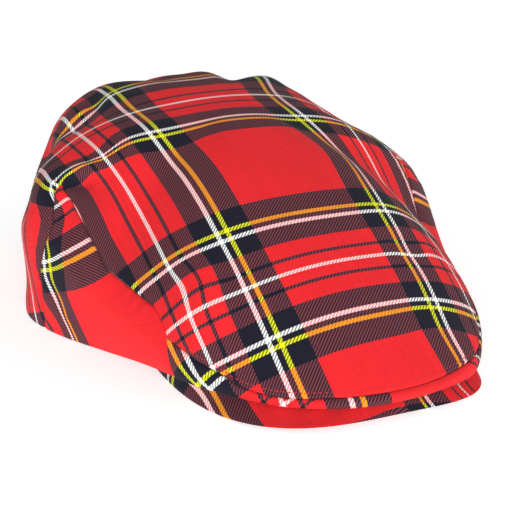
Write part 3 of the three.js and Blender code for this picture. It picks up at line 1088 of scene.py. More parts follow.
@dataclass
class Topstitching:
    """Rows of thread through the top panel beside the strip's seam, each stitch a short bent rod."""

    panel: TopPanel
    pitch: float = 2.4
    length: float = 1.7
    radius: float = 0.2
    height: float = 0.05
    sink: float = 0.3
    sink_power: int = 4
    taper: float = 0.45
    taper_power: int = 6
    margin: float = 2.5
    steps: int = 5
    sides: int = 6

    def build(self, material: bpy.types.Material) -> bpy.types.Object:
        """Builds the stitches of all rows as one mesh, their ends sunk into the cloth.

        Args:
            material: Finish of the thread.

        Returns:
            The stitches.
        """
        fall_step = 0.01
        crown, seams = self.panel.crown, self.panel.seams
        seam = seams.strip_between()
        span = arc_lengths(crown.point(seam[:, 0], seam[:, 1]))[-1]
        bend = np.linspace(-1.0, 1.0, self.steps)
        middles = np.arange(self.margin, span - self.margin, self.pitch)
        shares = (middles[:, None] + bend * self.length / 2.0) / span
        places = seams.at_shares(seam, shares.ravel())
        higher = crown.point(places[:, 0], places[:, 1] - fall_step)
        fall = np.linalg.norm(higher - crown.point(places[:, 0], places[:, 1]), axis=1) / fall_step
        rings = []
        for row in self.panel.stitch_rows:
            along = places[:, 1] - row / fall
            points, up = crown.point(places[:, 0], along), crown.normal(places[:, 0], along)
            lift = self.panel.rise(points)[0] + self.height
            lift -= self.sink * np.tile(bend ** self.sink_power, len(middles))
            line = (points + up * lift[:, None]).reshape(len(middles), self.steps, 3)
            rings.append(self._rings(line, up.reshape(line.shape)))
        return self._mesh(np.concatenate(rings), material)

    def _rings(self, line: Array, up: Array) -> Array:
        """Rings of points round the middle lines of stitches, drawn in at their ends.

        Args:
            line: Points of the middle lines, by stitch and step.
            up: Directions away from the cloth.

        Returns:
            Points by stitch, step and place round the ring.
        """
        ahead = unit(np.gradient(line, axis=1))
        aside = unit(np.cross(ahead, up))
        above = np.cross(aside, ahead)
        angle = np.pi + 2.0 * np.pi * np.arange(self.sides) / self.sides
        radius = self.radius * (1.0 - self.taper * np.linspace(-1.0, 1.0, self.steps) ** self.taper_power)
        around = above[:, :, None] * np.cos(angle)[:, None] + aside[:, :, None] * np.sin(angle)[:, None]
        return line[:, :, None] + around * radius[:, None, None]

    def _mesh(self, rings: Array, material: bpy.types.Material) -> bpy.types.Object:
        """Joins the rings to closed rods, with the way along and round each in a UV map.

        Args:
            rings: Points by stitch, step and place round the ring.
            material: Finish of the thread.

        Returns:
            The object.
        """
        index = np.arange(rings.size // 3).reshape(rings.shape[:3])
        following = np.roll(index, -1, axis=2)
        corners = (index[:, :-1], following[:, :-1], following[:, 1:], index[:, 1:])
        quads = np.stack(corners, axis=-1).reshape(-1, 4)
        caps = np.concatenate([index[:, 0, ::-1], index[:, -1]])
        points = (rings.reshape(-1, 3) + [0.0, CROWN_SHIFT_Y, 0.0]) * METRES
        mesh = bpy.data.meshes.new("topstitching")
        mesh.from_pydata(points.tolist(), [], quads.tolist() + caps.tolist())
        step, turn = np.meshgrid(np.arange(self.steps - 1), np.arange(self.sides), indexing="ij")
        offsets = ((0, 0), (0, 1), (1, 1), (1, 0))
        grid = np.stack([np.stack([step + one, turn + two], axis=-1) for one, two in offsets], axis=2)
        wound = np.tile((grid / [self.steps - 1, self.sides]).reshape(-1, 2), (len(rings), 1))
        ends = np.full((caps.size, 2), 0.5)
        layer = mesh.uv_layers.new(name="thread")
        layer.data.foreach_set("uv", np.vstack([wound, ends]).astype(np.float32).ravel())
        return placed(mesh, material, None)


def declare_sheet(flat: Array, size: Array | None = None) -> None:
    """Works out the size that a panel of cloth was cut to, and does nothing more with it.

    Args:
        flat: Its flat places in millimetres.
        size: Width and length of the cut, where they aren't those of the flat layout's own box.
    """
    if size is None:
        size = flat.max(axis=0) - flat.min(axis=0)


@dataclass
class SidePanel:
    """A gusset between the top panel, the strip and the rim."""

    crown: Crown
    seams: Seams
    edge: ClothEdge
    side: Side
    grain: GussetGrain = GussetGrain()
    inset: float = 0.03
    width: float = 95.0
    depth: float = 50.0
    counts: tuple[int, int] = (110, 70)
    coarse_counts: tuple[int, int] = (31, 15)
    pucker_shift: float = 3.0

    def layout(self, across: Array, down: Array) -> tuple[Array, Array]:
        """Patch between the gusset's four edges.

        Args:
            across: Shares from its front to its rear.
            down: Shares from its upper seam to the rim.

        Returns:
            Azimuths and places along, on a grid.
        """
        front, rear = self.seams.front_edge[self.side], self.seams.rear_edge[self.side]
        end_inset, top_inset = self.inset / self.width, self.inset / self.depth
        s = np.concatenate([[0.0], end_inset + across * (1.0 - 2.0 * end_inset), [1.0]])
        t = np.concatenate([[0.0], top_inset + down * (1.0 - top_inset), [1.0]])
        top = self.seams.at_shares(self.seams.over[self.side], s)
        bottom = self.seams.rim_between(front[-1, 0], rear[-1, 0], s)
        ends = self.seams.at_shares(front, t), self.seams.at_shares(rear, t)
        patch = coons(top, bottom, *ends, s, t)[1:-1, 1:-1]
        return patch[..., 0], patch[..., 1]

    def build(self, material: bpy.types.Material) -> bpy.types.Object:
        """Builds the gusset, tucked at its seams and rounded at its edges.

        Args:
            material: Finish of the cloth.

        Returns:
            The gusset.
        """
        across, down = edge_graded(self.counts[0], self.width), edge_graded(self.counts[1], self.depth)
        if self.side is Side.LEFT:
            across = 1.0 - across
        even_across, even_down = (np.linspace(0.0, 1.0, count) for count in self.coarse_counts)
        coarse = self.crown.point(*self.layout(even_across, even_down))
        start = np.stack([-coarse[..., 1], coarse[..., 2]], axis=-1)
        flat = laid_flat(coarse, start, across, down)
        azimuth, along = (part.ravel() for part in self.layout(across, down))
        points, normals = self.crown.point(azimuth, along), self.crown.normal(azimuth, along)
        quads = quads_of(np.arange(len(points)).reshape(len(down), len(across)))
        front, rear = self.seams.front_edge[self.side], self.seams.rear_edge[self.side]
        seam = np.vstack([front[:0:-1], self.seams.over[self.side], rear[1:]])
        gap, place = line_distance(points, self.seams.in_space(seam))
        rise = slow_waves(points) + self.crown.crease_rise(points)
        rise += self.edge.seam_rise(gap, place + self.pucker_shift)
        edge_gap = np.minimum(gap, self.crown.rim_distance(points, azimuth, along))
        outer, inner = self.edge.walls(points, normals, rise, edge_gap)
        cloth, weave = self.grain.cloth(flat, self.side), self.grain.weave(flat, self.side)
        side = self.side.name.lower()
        wall = ClothMesh(f"side_cloth_{side}", f"side_panel_{side}", outer, inner, quads, cloth, weave)
        piece = wall.build(material)
        declare_sheet(flat)
        return piece


@dataclass
class FrontStrip:
    """The narrow strip that binds the front edge under the top panel."""

    crown: Crown
    seams: Seams
    edge: ClothEdge
    grain: Grain = Grain(across=18.6, ahead=80.0, turn=0.0, pulls=(
        Pull(-52, 68.5, 13, 0, 9.5),
        Pull(-20, 72, 26, 0, 6),
        Pull(18, 66, 18, 0, 11),
        Pull(-68, 60, 9, 0, 2.2),
    ))
    inset: float = 0.2
    top_share: float = 0.02
    length: float = 240.0
    depth: float = 6.0
    counts: tuple[int, int] = (320, 16)
    coarse_counts: tuple[int, int] = (101, 5)
    roll: float = 0.3
    roll_onset: float = 6.0
    tuck: float = 0.35
    tuck_reach: float = 1.2

    def layout(self, across: Array, down: Array) -> tuple[Array, Array]:
        """Patch between the strip's seam, the rim and the two gussets.

        Args:
            across: Shares from the wearer's left end to the right one.
            down: Shares from the seam to the rim.

        Returns:
            Azimuths and places along, on a grid.
        """
        left, right = self.seams.front_edge[Side.LEFT], self.seams.front_edge[Side.RIGHT]
        end_inset = self.inset / self.length
        s = np.concatenate([[0.0], end_inset + across * (1.0 - 2.0 * end_inset), [1.0]])
        t = np.concatenate([[0.0], self.top_share + down * (1.0 - self.top_share), [1.0]])
        top = self.seams.at_shares(self.seams.strip_between(), s)
        bottom = self.seams.rim_between(left[-1, 0], right[-1, 0], s)
        ends = self.seams.at_shares(left, t), self.seams.at_shares(right, t)
        patch = coons(top, bottom, *ends, s, t)[1:-1, 1:-1]
        return patch[..., 0], patch[..., 1]

    def build(self, material: bpy.types.Material) -> bpy.types.Object:
        """Builds the strip, its upper edge tucked under the top panel and its face rolled like a binding.

        Args:
            material: Finish of the cloth.

        Returns:
            The strip.
        """
        across, down = edge_graded(self.counts[0], self.length), edge_graded(self.counts[1], self.depth)
        even_across, even_down = (np.linspace(0.0, 1.0, count) for count in self.coarse_counts)
        turn, fall = self.layout(even_across, even_down)
        coarse = self.crown.point(turn, fall)
        start = fanned(coarse, np.radians(turn), even_down[:, None] * self.depth)
        flat = laid_flat(coarse, start, across, down)
        azimuth, along = (part.ravel() for part in self.layout(across, down))
        points, normals = self.crown.point(azimuth, along), self.crown.normal(azimuth, along)
        quads = quads_of(np.arange(len(points)).reshape(len(down), len(across)))
        seam_gap, _place = line_distance(points, self.seams.in_space(self.seams.strip_between()))
        end_gap = np.full(len(points), np.inf)
        for side in Side:
            gap, _place = line_distance(points, self.seams.in_space(self.seams.front_edge[side]))
            end_gap = np.minimum(end_gap, gap)
        rim_gap = self.crown.rim_distance(points, azimuth, along)
        share = np.tile(down[:, None], (1, len(across))).ravel()
        rise = self.roll * np.sin(np.pi * share) * smooth(end_gap / self.roll_onset)
        rise -= self.tuck * np.exp(-(seam_gap / self.tuck_reach) ** 2)
        edge_gap = np.minimum(np.minimum(seam_gap, end_gap), rim_gap)
        outer, inner = self.edge.walls(points, normals, rise, edge_gap)
        cloth, weave = self.grain.cloth(flat), self.grain.weave(flat)
        piece = ClothMesh("front_strip_cloth", "front_strip", outer, inner, quads, cloth, weave).build(material)
        rows = flat.reshape(len(down), len(across), 2)
        widest = np.linalg.norm(rows[-1] - rows[0], axis=1).max()
        declare_sheet(flat, np.array([widest, arc_lengths(rows[len(down) // 2])[-1]]))
        return piece


@dataclass
class Peak:
    """The stiff, cloth-covered crescent under the front edge."""

    crown: Crown
    right_half_width: float = 70.0
    right_power: float = 2.9
    left_half_width: float = 57.0
    left_power: float = 3.7
    reach: float = 87.7
    ends_y: float = -69.8
    edge_arch: float = 2.7
    skew: float = -3.0
    forehead_inset: float = 5.0
    forehead_ends_y: float = -77.0
    forehead_reach: float = 17.0
    forehead_end_z: float = 4.0
    forehead_middle_z: float = 16.0
    camber: float = 4.0
    turn_share: float = 0.8
    under_strip: float = 0.3
    edge_drop: float = 4.0
    blunt: float = 0.8
    counts: tuple[int, int] = (220, 60)
    lengths: tuple[float, float] = (240.0, 60.0)
    coarse_counts: tuple[int, int] = (41, 15)
    edge_count: int = 300
    grain: Grain = Grain(across=-29.0, ahead=128.3, turn=0.0, pulls=(
        Pull(-44, -18, 18, -3.2, 0),
        Pull(8, 26, 16, 0, -1.5),
        Pull(36, 26, 9, 2.7, -0.5),
        Pull(56, 26, 18, 0, -4),
        Pull(66, 24, 16, 10, 0),
    ))

    def point(self, u: Array, v: Array) -> Array:
        """Points of the upper face: from the forehead, under the strip at the turn, down to the floor edge.

        The floor edge is half a superellipse, narrower on the wearer's left and turned a little by the skew.
        The turn lies a wall's width inside the crown's rim. From the forehead to the turn the face is a
        quadratic curve raised at its middle, and beyond the turn it is straight.

        Args:
            u: Shares round the peak, from -1 to 1.
            v: Shares from the forehead to the edge.

        Returns:
            The points.
        """
        angle = u * np.pi / 2.0
        half_width = np.where(u < 0.0, self.left_half_width, self.right_half_width)
        power = np.where(u < 0.0, self.left_power, self.right_power)
        side = np.sign(np.sin(angle)) * np.abs(np.sin(angle)) ** (2.0 / power)
        front = np.abs(np.cos(angle)) ** (2.0 / power)
        plain_x, plain_y, skew = -half_width * side, -self.reach * front, math.radians(self.skew)
        edge = np.stack([plain_x * math.cos(skew) - plain_y * math.sin(skew),
                         self.ends_y + plain_x * math.sin(skew) + plain_y * math.cos(skew),
                         self.edge_arch * (1.0 - side ** 2)], axis=-1)
        raised = self.forehead_end_z + (self.forehead_middle_z - self.forehead_end_z) * np.cos(angle)
        forehead = np.stack([-(half_width - self.forehead_inset) * np.sin(angle),
                             self.forehead_ends_y - self.forehead_reach * np.cos(angle), raised], axis=-1)
        radius = np.hypot(edge[..., 0], edge[..., 1])
        rim = self.crown.point(np.degrees(np.arctan2(-edge[..., 0], -edge[..., 1])), RIM)
        inset = np.maximum(radius - np.hypot(rim[..., 0], rim[..., 1]) + CLOTH_WALL, 3.0 * self.under_strip)
        shrink = (1.0 - inset / radius)[..., None]
        turn = np.concatenate([edge[..., :2] * shrink, rim[..., 2:] - self.under_strip], axis=-1)
        middle = (forehead + turn) / 2.0
        middle[..., 2] += self.camber * front
        t = np.clip(v / self.turn_share, 0.0, 1.0)[..., None]
        curved = (1.0 - t) ** 2 * forehead + 2.0 * t * (1.0 - t) * middle + t ** 2 * turn
        straight = turn + (edge - turn) * ((v - self.turn_share) / (1.0 - self.turn_share))[..., None]
        return np.where((v > self.turn_share)[..., None], straight, curved)

    def normal(self, u: Array, v: Array) -> Array:
        """Upward normals, from short steps over the face."""
        step, least, most = 0.003, 0.004, 0.996
        near, mid = np.clip(v, least, most), np.clip(u, -most, most)
        turn = self.point(mid + step, near) - self.point(mid - step, near)
        fall = self.point(mid, near + step) - self.point(mid, near - step)
        across = unit(np.cross(turn, fall))
        across[..., 2] *= 1.0 - smooth((v - self.turn_share) / (1.0 - self.turn_share))
        return unit(across)

    def build(self, material: bpy.types.Material) -> bpy.types.Object:
        """Builds the peak with a rounded floor edge.

        Args:
            material: Finish of its cloth.

        Returns:
            The peak.
        """
        across, v = (edge_graded(count, length) for count, length in zip(self.counts, self.lengths))
        grid_u, grid_v = np.meshgrid(across * 2.0 - 1.0, v)
        points = self.point(grid_u, grid_v).reshape(-1, 3)
        normals = self.normal(grid_u, grid_v).reshape(-1, 3)
        quads = quads_of(np.arange(len(points)).reshape(grid_u.shape))
        even_across, even_v = (np.linspace(0.0, 1.0, count) for count in self.coarse_counts)
        even_u, even_v = np.meshgrid(even_across * 2.0 - 1.0, even_v)
        beyond_turn = np.clip((even_v - self.turn_share) / (1.0 - self.turn_share), 0.0, 1.0)
        coarse = self.point(even_u, even_v)
        start = fanned(coarse, even_u * np.pi / 2.0, self.edge_drop * beyond_turn)
        flat = laid_flat(coarse, start, across, v)
        shares = np.linspace(-1.0, 1.0, self.edge_count)
        edge_gap, _place = line_distance(points, self.point(shares, np.ones_like(shares)))
        inner_gap, _place = line_distance(points, self.point(shares, np.zeros_like(shares)))
        edge = ClothEdge(half_wall=PEAK_WALL / 2.0, blunt=self.blunt)
        outer, inner = edge.walls(points, normals, np.zeros(len(points)), np.minimum(edge_gap, inner_gap))
        cloth, weave = self.grain.cloth(flat), self.grain.weave(flat)
        return ClothMesh("peak_cover", "peak", outer, inner, quads, cloth, weave).build(material)


# Finishes


def linear(red: int, green: int, blue: int) -> tuple[float, float, float, float]:
    """A colour given in steps of 255 as a person picks it, as the renderer's own linear light."""
    shares = [value / 255.0 for value in (red, green, blue)]
    light = [s / 12.92 if s <= 0.04045 else ((s + 0.055) / 1.055) ** 2.4 for s in shares]
    return light[0], light[1], light[2], 1.0


class NodeDesk:
    """Adds nodes to a tree and joins them."""

    def __init__(self, tree: bpy.types.NodeTree) -> None:
        """Keeps the tree."""
        self.tree = tree

    def add(self, kind: str, **settings: object) -> bpy.types.Node:
        """Adds a node and sets its options."""
        node = self.tree.nodes.new(kind)
        for name, value in settings.items():
            setattr(node, name, value)
        return node

    def join(self, value: object, socket: bpy.types.NodeSocket) -> None:
        """Links a socket's value to another, or sets a plain value on it."""
        if isinstance(value, bpy.types.NodeSocket):
            self.tree.links.new(value, socket)
        else:
            socket.default_value = value

    def math(self, operation: str, *values: object) -> bpy.types.NodeSocket:
        """Adds a Math node on sockets or numbers and gives its result."""
        node = self.add("ShaderNodeMath", operation=operation)
        for value, socket in zip(values, node.inputs):
            self.join(value, socket)
        return node.outputs[0]

    def held(self, value: object) -> bpy.types.NodeSocket:
        """Keeps a value between 0 and 1."""
        return self.math("MINIMUM", self.math("MAXIMUM", value, 0.0), 1.0)

    def between(self, share: object, first: object, second: object) -> bpy.types.NodeSocket:
        """Goes from one number to another by a share."""
        return self.math("MULTIPLY_ADD", share, self.math("SUBTRACT", second, first), first)

    def mix(self, share: object, first: object, second: object, blend: str = "MIX") -> bpy.types.NodeSocket:
        """Adds a colour Mix node and gives its result."""
        node = self.add("ShaderNodeMix", data_type="RGBA", blend_type=blend)
        for value, name in ((share, 0), (first, 6), (second, 7)):
            self.join(value, node.inputs[name])
        return node.outputs[2]

    def toned(self, colour: object, tone: object) -> bpy.types.NodeSocket:
        """Multiplies a colour by a number."""
        grey = self.add("ShaderNodeCombineColor")
        for socket in grey.inputs:
            self.join(tone, socket)
        return self.mix(1.0, colour, grey.outputs[0], "MULTIPLY")

    def noise(self, place: object, scale: float, detail: float) -> bpy.types.NodeSocket:
        """Adds a noise texture and gives its value."""
        node = self.add("ShaderNodeTexNoise")
        for value, name in ((place, "Vector"), (scale, "Scale"), (detail, "Detail")):
            self.join(value, node.inputs[name])
        return node.outputs[0]

    def bump(self, height: object, strength: float, distance: float) -> bpy.types.NodeSocket:
        """Adds a bump by a height and gives the bent normal."""
        node = self.add("ShaderNodeBump")
        for value, name in ((height, "Height"), (strength, "Strength"), (distance, "Distance")):
            self.join(value, node.inputs[name])
        return node.outputs[0]


@dataclass(frozen=True)
class Stripe:
    """One stripe of the sett: how far from the middle of the broad red it starts, and its yarn."""

    start: float
    yarn: tuple[float, float, float, float]


@dataclass(frozen=True)
class TartanTwill:
    """Red tartan in a two-and-two twill.

    The shares say how much of a pair of crossing yarns shows: red gives way to navy, yellow and white stand
    out over it, yellow gives way to red, and other pairs show about evenly. The hatch says how strongly the
    twill's lines part the two colours, and the glint how far the raised lines of red over navy are painted
    paler: a painted highlight mixed into the colour, where their fibres would catch the light.
    """

    red: tuple[float, float, float, float] = linear(222, 34, 40)
    navy: tuple[float, float, float, float] = linear(21, 21, 36)
    yellow: tuple[float, float, float, float] = linear(226, 230, 30)
    white: tuple[float, float, float, float] = linear(246, 247, 246)
    pivot: float = 66.0
    yarn_pitch: float = 0.41
    wale: float = 1.63
    red_on_navy: float = 0.1
    pale_on_navy: float = 0.6
    yellow_on_red: float = 0.32
    even_share: float = 0.5
    hatch_on_navy: float = 0.9
    hatch: float = 0.5
    # glint: share of white in a painted highlight on raised red lines over navy
    glint: float = 0.035
    navy_below: float = 0.06
    red_below: float = 0.4
    white_from: float = 0.82
    line_sharpness: float = 14.0
    ridge_power: float = 0.6
    yarn_tone: float = 0.16
    yarn_seeds: tuple[float, float] = (3.7, 91.3)
    uneven_scale: float = 34.0
    uneven_tone: float = 0.14
    fuzz_scale: float = 1900.0
    fuzz_tone: float = 0.2
    fuzz_rough: float = 0.12
    fuzz_height: float = 0.6
    bump_strength: float = 0.35
    bump_depth: float = 0.00015
    roughness: float = 0.86
    sheen: float = 0.03
    sheen_roughness: float = 0.5
    specular: float = 0.2

    def stripes(self) -> tuple[Stripe, ...]:
        """Stripes of half a repeat, from the middle of the broad red to the narrow white."""
        return (
            Stripe(0.0, self.red), Stripe(26.0, self.navy), Stripe(35.85, self.yellow),
            Stripe(38.05, self.navy), Stripe(40.4, self.white), Stripe(42.65, self.navy),
            Stripe(51.3, self.red), Stripe(58.5, self.navy), Stripe(60.1, self.red), Stripe(65.0, self.white),
        )

    def sett_group(self) -> bpy.types.NodeTree:
        """Node group that gives the colour of a yarn by its place across the sett.

        The place goes back and forth over half a repeat, and steps of a ramp give the stripes.

        Returns:
            The group.
        """
        tree = bpy.data.node_groups.new("tartan_sett", "ShaderNodeTree")
        tree.interface.new_socket("Place", in_out="INPUT", socket_type="NodeSocketFloat")
        tree.interface.new_socket("Colour", in_out="OUTPUT", socket_type="NodeSocketColor")
        desk = NodeDesk(tree)
        given, result = desk.add("NodeGroupInput"), desk.add("NodeGroupOutput")
        ramp = desk.add("ShaderNodeValToRGB")
        ramp.color_ramp.interpolation = "CONSTANT"
        stops = ramp.color_ramp.elements
        stops.remove(stops[1])
        for number, stripe in enumerate(self.stripes()):
            stop = stops[0] if number == 0 else stops.new(stripe.start / self.pivot)
            stop.position = stripe.start / self.pivot
            stop.color = stripe.yarn
        back_and_forth = desk.math("PINGPONG", given.outputs["Place"], self.pivot)
        desk.join(desk.math("DIVIDE", back_and_forth, self.pivot), ramp.inputs[0])
        desk.join(ramp.outputs[0], result.inputs["Colour"])
        return tree

    def twill_group(self) -> bpy.types.NodeTree:
        """Node group that weaves two setts into a twill.

        Warp and weft yarns are numbered by whole steps of the pitch, and each takes its stripe's colour. Which
        of the two lies on top goes by the distance along the diagonal.

        Returns:
            The group.
        """
        sett = self.sett_group()
        tree = bpy.data.node_groups.new("tartan_twill_weave", "ShaderNodeTree")
        tree.interface.new_socket("Cloth", in_out="INPUT", socket_type="NodeSocketVector")
        tree.interface.new_socket("Weave", in_out="INPUT", socket_type="NodeSocketVector")
        tree.interface.new_socket("Colour", in_out="OUTPUT", socket_type="NodeSocketColor")
        tree.interface.new_socket("Height", in_out="OUTPUT", socket_type="NodeSocketFloat")
        desk = NodeDesk(tree)
        given, result = desk.add("NodeGroupInput"), desk.add("NodeGroupOutput")
        places, threads = [], []
        for name, values in (("Cloth", places), ("Weave", threads)):
            parts = desk.add("ShaderNodeSeparateXYZ")
            desk.join(given.outputs[name], parts.inputs[0])
            values += [desk.math("MULTIPLY", parts.outputs[axis], 1.0 / METRES) for axis in (0, 1)]
        yarns, lights = [], []
        for place, seed in zip(places, self.yarn_seeds):
            number = desk.math("FLOOR", desk.math("DIVIDE", place, self.yarn_pitch))
            middle = desk.math("MULTIPLY", desk.math("ADD", number, 0.5), self.yarn_pitch)
            colour = desk.add("ShaderNodeGroup", node_tree=sett)
            desk.join(middle, colour.inputs["Place"])
            chance = desk.add("ShaderNodeTexWhiteNoise", noise_dimensions="1D")
            desk.join(desk.math("ADD", number, seed), chance.inputs["W"])
            least_tone = 1.0 - self.yarn_tone / 2.0
            tone = desk.math("MULTIPLY_ADD", chance.outputs["Value"], self.yarn_tone, least_tone)
            yarns.append(desk.toned(colour.outputs[0], tone))
            lightness = desk.add("ShaderNodeRGBToBW")
            desk.join(colour.outputs[0], lightness.inputs[0])
            lights.append(lightness.outputs[0])
        light, dark = desk.math("MAXIMUM", *lights), desk.math("MINIMUM", *lights)
        on_navy = desk.math("LESS_THAN", dark, self.navy_below)
        pale = desk.held(desk.math("MULTIPLY_ADD", light, 2.5, -0.75))
        navy_share = desk.math("MULTIPLY_ADD", pale, self.pale_on_navy - self.red_on_navy, self.red_on_navy)
        below_white = desk.math("LESS_THAN", light, self.white_from)
        yellow_on_red = desk.math("MULTIPLY", below_white, desk.math("LESS_THAN", dark, self.red_below))
        plain_share = desk.between(yellow_on_red, self.even_share, self.yellow_on_red)
        share = desk.between(on_navy, plain_share, navy_share)
        warp_lighter = desk.math("GREATER_THAN", *lights)
        warp_share = desk.between(warp_lighter, desk.math("SUBTRACT", 1.0, share), share)
        room = desk.math("MINIMUM", share, desk.math("SUBTRACT", 1.0, share))
        depth = desk.math("MULTIPLY", room, desk.between(on_navy, self.hatch, self.hatch_on_navy))
        diagonal = desk.math("DIVIDE", desk.math("ADD", *threads), self.wale)
        off_middle = desk.math("PINGPONG", diagonal, 0.5)
        off_line = desk.math("SUBTRACT", 0.25, off_middle)
        over = desk.held(desk.math("MULTIPLY_ADD", off_line, self.line_sharpness, 0.5))
        sway = desk.math("MULTIPLY", desk.math("MULTIPLY_ADD", over, 2.0, -1.0), depth)
        woven = desk.mix(desk.math("ADD", warp_share, sway), yarns[1], yarns[0])
        red_on_navy = desk.math("MULTIPLY", on_navy, desk.math("GREATER_THAN", light, self.navy_below))
        red_on_navy = desk.math("MULTIPLY", red_on_navy, desk.math("SUBTRACT", 1.0, pale))
        raised = desk.between(warp_lighter, desk.math("SUBTRACT", 1.0, over), over)
        # painted highlight: raised red lines over navy are mixed towards white by the glint
        painted_highlight = desk.math("MULTIPLY", desk.math("MULTIPLY", red_on_navy, raised), self.glint)
        desk.join(desk.mix(painted_highlight, woven, self.white), result.inputs["Colour"])
        ridge = desk.math("ABSOLUTE", desk.math("SINE", desk.math("MULTIPLY", diagonal, 2.0 * math.pi)))
        desk.join(desk.math("POWER", ridge, self.ridge_power), result.inputs["Height"])
        return tree

    def material(self) -> bpy.types.Material:
        """Material of the cloth, woven by its UV maps, with fuzz and a faint unevenness of tone.

        Returns:
            The material.
        """
        material = bpy.data.materials.new("tartan_twill_cloth")
        material.use_nodes = True
        desk = NodeDesk(material.node_tree)
        shader = material.node_tree.nodes["Principled BSDF"]
        weave = desk.add("ShaderNodeGroup", node_tree=self.twill_group())
        for name in ("Cloth", "Weave"):
            desk.join(desk.add("ShaderNodeUVMap", uv_map=name.lower()).outputs[0], weave.inputs[name])
        place = desk.add("ShaderNodeTexCoord").outputs["Object"]
        uneven = desk.noise(place, self.uneven_scale, 3.0)
        fuzz = desk.noise(place, self.fuzz_scale, 2.0)
        tone = desk.math("MULTIPLY_ADD", uneven, self.uneven_tone, 1.0 - self.uneven_tone / 2.0)
        fuzz_tone = desk.math("MULTIPLY_ADD", fuzz, self.fuzz_tone, 1.0 - self.fuzz_tone / 2.0)
        colour = desk.toned(weave.outputs["Colour"], desk.math("MULTIPLY", tone, fuzz_tone))
        desk.join(colour, shader.inputs["Base Color"])
        rough = desk.math("MULTIPLY_ADD", fuzz, self.fuzz_rough, self.roughness - self.fuzz_rough / 2.0)
        desk.join(rough, shader.inputs["Roughness"])
        height = desk.math("MULTIPLY_ADD", fuzz, self.fuzz_height, weave.outputs["Height"])
        desk.join(desk.bump(height, self.bump_strength, self.bump_depth), shader.inputs["Normal"])
        shader.inputs["Sheen Weight"].default_value = self.sheen
        shader.inputs["Sheen Roughness"].default_value = self.sheen_roughness
        shader.inputs["Specular IOR Level"].default_value = self.specular
        return material


@dataclass(frozen=True)
class StitchThread:
    """Twisted red thread: two tones wound round it, the darker one painted shade in its grooves, with a soft
    sheen.
    """

    light: tuple[float, float, float, float] = linear(208, 30, 38)
    # dark is the painted shade of the grooves between the strands
    dark: tuple[float, float, float, float] = linear(164, 20, 28)
    turns: float = 3.0
    uneven_scale: float = 420.0
    bump_strength: float = 0.4
    bump_depth: float = 0.0001
    roughness: float = 0.6

    def material(self) -> bpy.types.Material:
        """Material of the thread: a sine of the way along and round it parts its strands and paints shade in
        the grooves.

        Returns:
            The material.
        """
        material = bpy.data.materials.new("red_stitch_thread")
        material.use_nodes = True
        desk = NodeDesk(material.node_tree)
        shader = material.node_tree.nodes["Principled BSDF"]
        parts = desk.add("ShaderNodeSeparateXYZ")
        desk.join(desk.add("ShaderNodeUVMap", uv_map="thread").outputs[0], parts.inputs[0])
        wound = desk.math("MULTIPLY_ADD", parts.outputs[0], self.turns, parts.outputs[1])
        wave = desk.math("SINE", desk.math("MULTIPLY", wound, 2.0 * math.pi))
        strand = desk.math("MULTIPLY_ADD", wave, 0.5, 0.5)
        place = desk.add("ShaderNodeTexCoord").outputs["Object"]
        uneven = desk.noise(place, self.uneven_scale, 2.0)
        # painted shade: the colour follows the strands' bump, darker in the grooves and lighter on the crests
        share = desk.math("MULTIPLY_ADD", uneven, 0.5, desk.math("MULTIPLY", strand, 0.6))
        desk.join(desk.mix(desk.held(share), self.dark, self.light), shader.inputs["Base Color"])
        desk.join(desk.math("MULTIPLY_ADD", strand, 0.15, self.roughness), shader.inputs["Roughness"])
        desk.join(desk.bump(strand, self.bump_strength, self.bump_depth), shader.inputs["Normal"])
        return material


# Studio


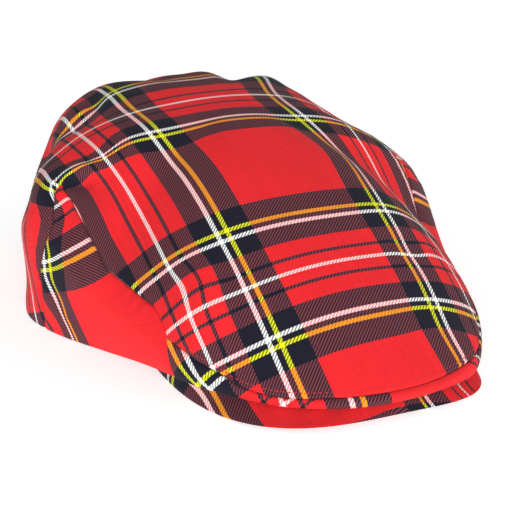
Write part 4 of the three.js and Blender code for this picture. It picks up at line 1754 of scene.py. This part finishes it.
@dataclass(frozen=True)
class Studio:
    """Plain pale floor, soft light and the camera, in metres in the cap's frame."""

    target: tuple[float, float, float] = (0.0122, 0.01991, 0.0164)
    azimuth: float = 26.9
    elevation: float = 18.8
    distance: float = 0.551
    lens: float = 77.34
    floor_half: float = 30.0
    sky_light: float = 0.25
    floor_glow: float = 0.55

    def build(self) -> None:
        """Builds the floor, the lights, the surroundings and the camera."""
        self._floor()
        self._camera()
        self._light("key_light", (-0.45, -0.9, 0.07), 50.0, 5.6)
        self._light("fill_light", (0.7, -0.7, 0.05), 60.0, 1.5)
        world = bpy.data.worlds.new("studio")
        bpy.context.scene.world = world
        world.use_nodes = True
        desk = NodeDesk(world.node_tree)
        surroundings = world.node_tree.nodes["Background"]
        seen = desk.add("ShaderNodeLightPath").outputs["Is Camera Ray"]
        desk.join(desk.between(seen, self.sky_light, 1.0), surroundings.inputs["Strength"])
        surroundings.inputs["Color"].default_value = (1.0, 1.0, 1.0, 1.0)
        bpy.context.scene.view_settings.view_transform = "Standard"

    def _floor(self) -> None:
        """Builds the floor."""
        half = self.floor_half
        mesh = bpy.data.meshes.new("studio_floor")
        corners = [(-half, -half, 0), (half, -half, 0), (half, half, 0), (-half, half, 0)]
        mesh.from_pydata(corners, [], [(0, 1, 2, 3)])
        material = bpy.data.materials.new("studio_paper")
        material.use_nodes = True
        shader = material.node_tree.nodes["Principled BSDF"]
        shader.inputs["Base Color"].default_value = (0.9, 0.9, 0.9, 1.0)
        shader.inputs["Roughness"].default_value = 0.9
        shader.inputs["Emission Color"].default_value = (1.0, 1.0, 1.0, 1.0)
        shader.inputs["Emission Strength"].default_value = self.floor_glow
        mesh.materials.append(material)
        floor = bpy.data.objects.new("studio_floor", mesh)
        bpy.context.scene.collection.objects.link(floor)

    def _camera(self) -> None:
        """Builds the camera, level, looking at its target from an azimuth and an elevation."""
        a, e = math.radians(self.azimuth), math.radians(self.elevation)
        back = np.array([-math.sin(a) * math.cos(e), -math.cos(a) * math.cos(e), math.sin(e)])
        right = np.array([math.cos(a), -math.sin(a), 0.0])
        up = np.cross(back, right)
        place = np.array(self.target) + self.distance * back
        camera = bpy.data.objects.new("camera", bpy.data.cameras.new("camera"))
        camera.data.lens = self.lens
        camera.data.sensor_width = 36.0
        frame = np.column_stack([right, up, back, place]).tolist()
        camera.matrix_world = Matrix(frame + [[0.0, 0.0, 0.0, 1.0]])
        bpy.context.scene.collection.objects.link(camera)
        bpy.context.scene.camera = camera

    def _light(self, name: str, way: tuple[float, float, float], spread: float, power: float) -> None:
        """Adds an even soft light that shines on the cap and the floor alike.

        Args:
            name: Its name.
            way: Direction in which it stands.
            spread: Angle in degrees over which it is spread, which softens its shadows.
            power: Its strength.
        """
        lamp = bpy.data.lights.new(name, "SUN")
        lamp.angle = math.radians(spread)
        lamp.energy = power
        light = bpy.data.objects.new(name, lamp)
        back = unit(np.array(way))
        right = unit(np.cross([0.0, 0.0, 1.0], back))
        up = np.cross(back, right)
        frame = np.column_stack([right, up, back, back]).tolist()
        light.matrix_world = Matrix(frame + [[0.0, 0.0, 0.0, 1.0]])
        bpy.context.scene.collection.objects.link(light)


def main() -> None:
    """Builds the cap and its studio."""
    logging.basicConfig(level=logging.INFO, format="%(message)s")
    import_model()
    crown = Crown()
    seams = Seams(crown)
    edge = ClothEdge()
    tartan = TartanTwill().material()
    top_panel = TopPanel(crown, seams, edge)
    top_panel.build(tartan)
    Topstitching(top_panel).build(StitchThread().material())
    for side in Side:
        SidePanel(crown, seams, edge, side).build(tartan)
    FrontStrip(crown, seams, edge).build(tartan)
    Peak(crown).build(tartan)
    Studio().build()


if __name__ == "__main__":
    main()
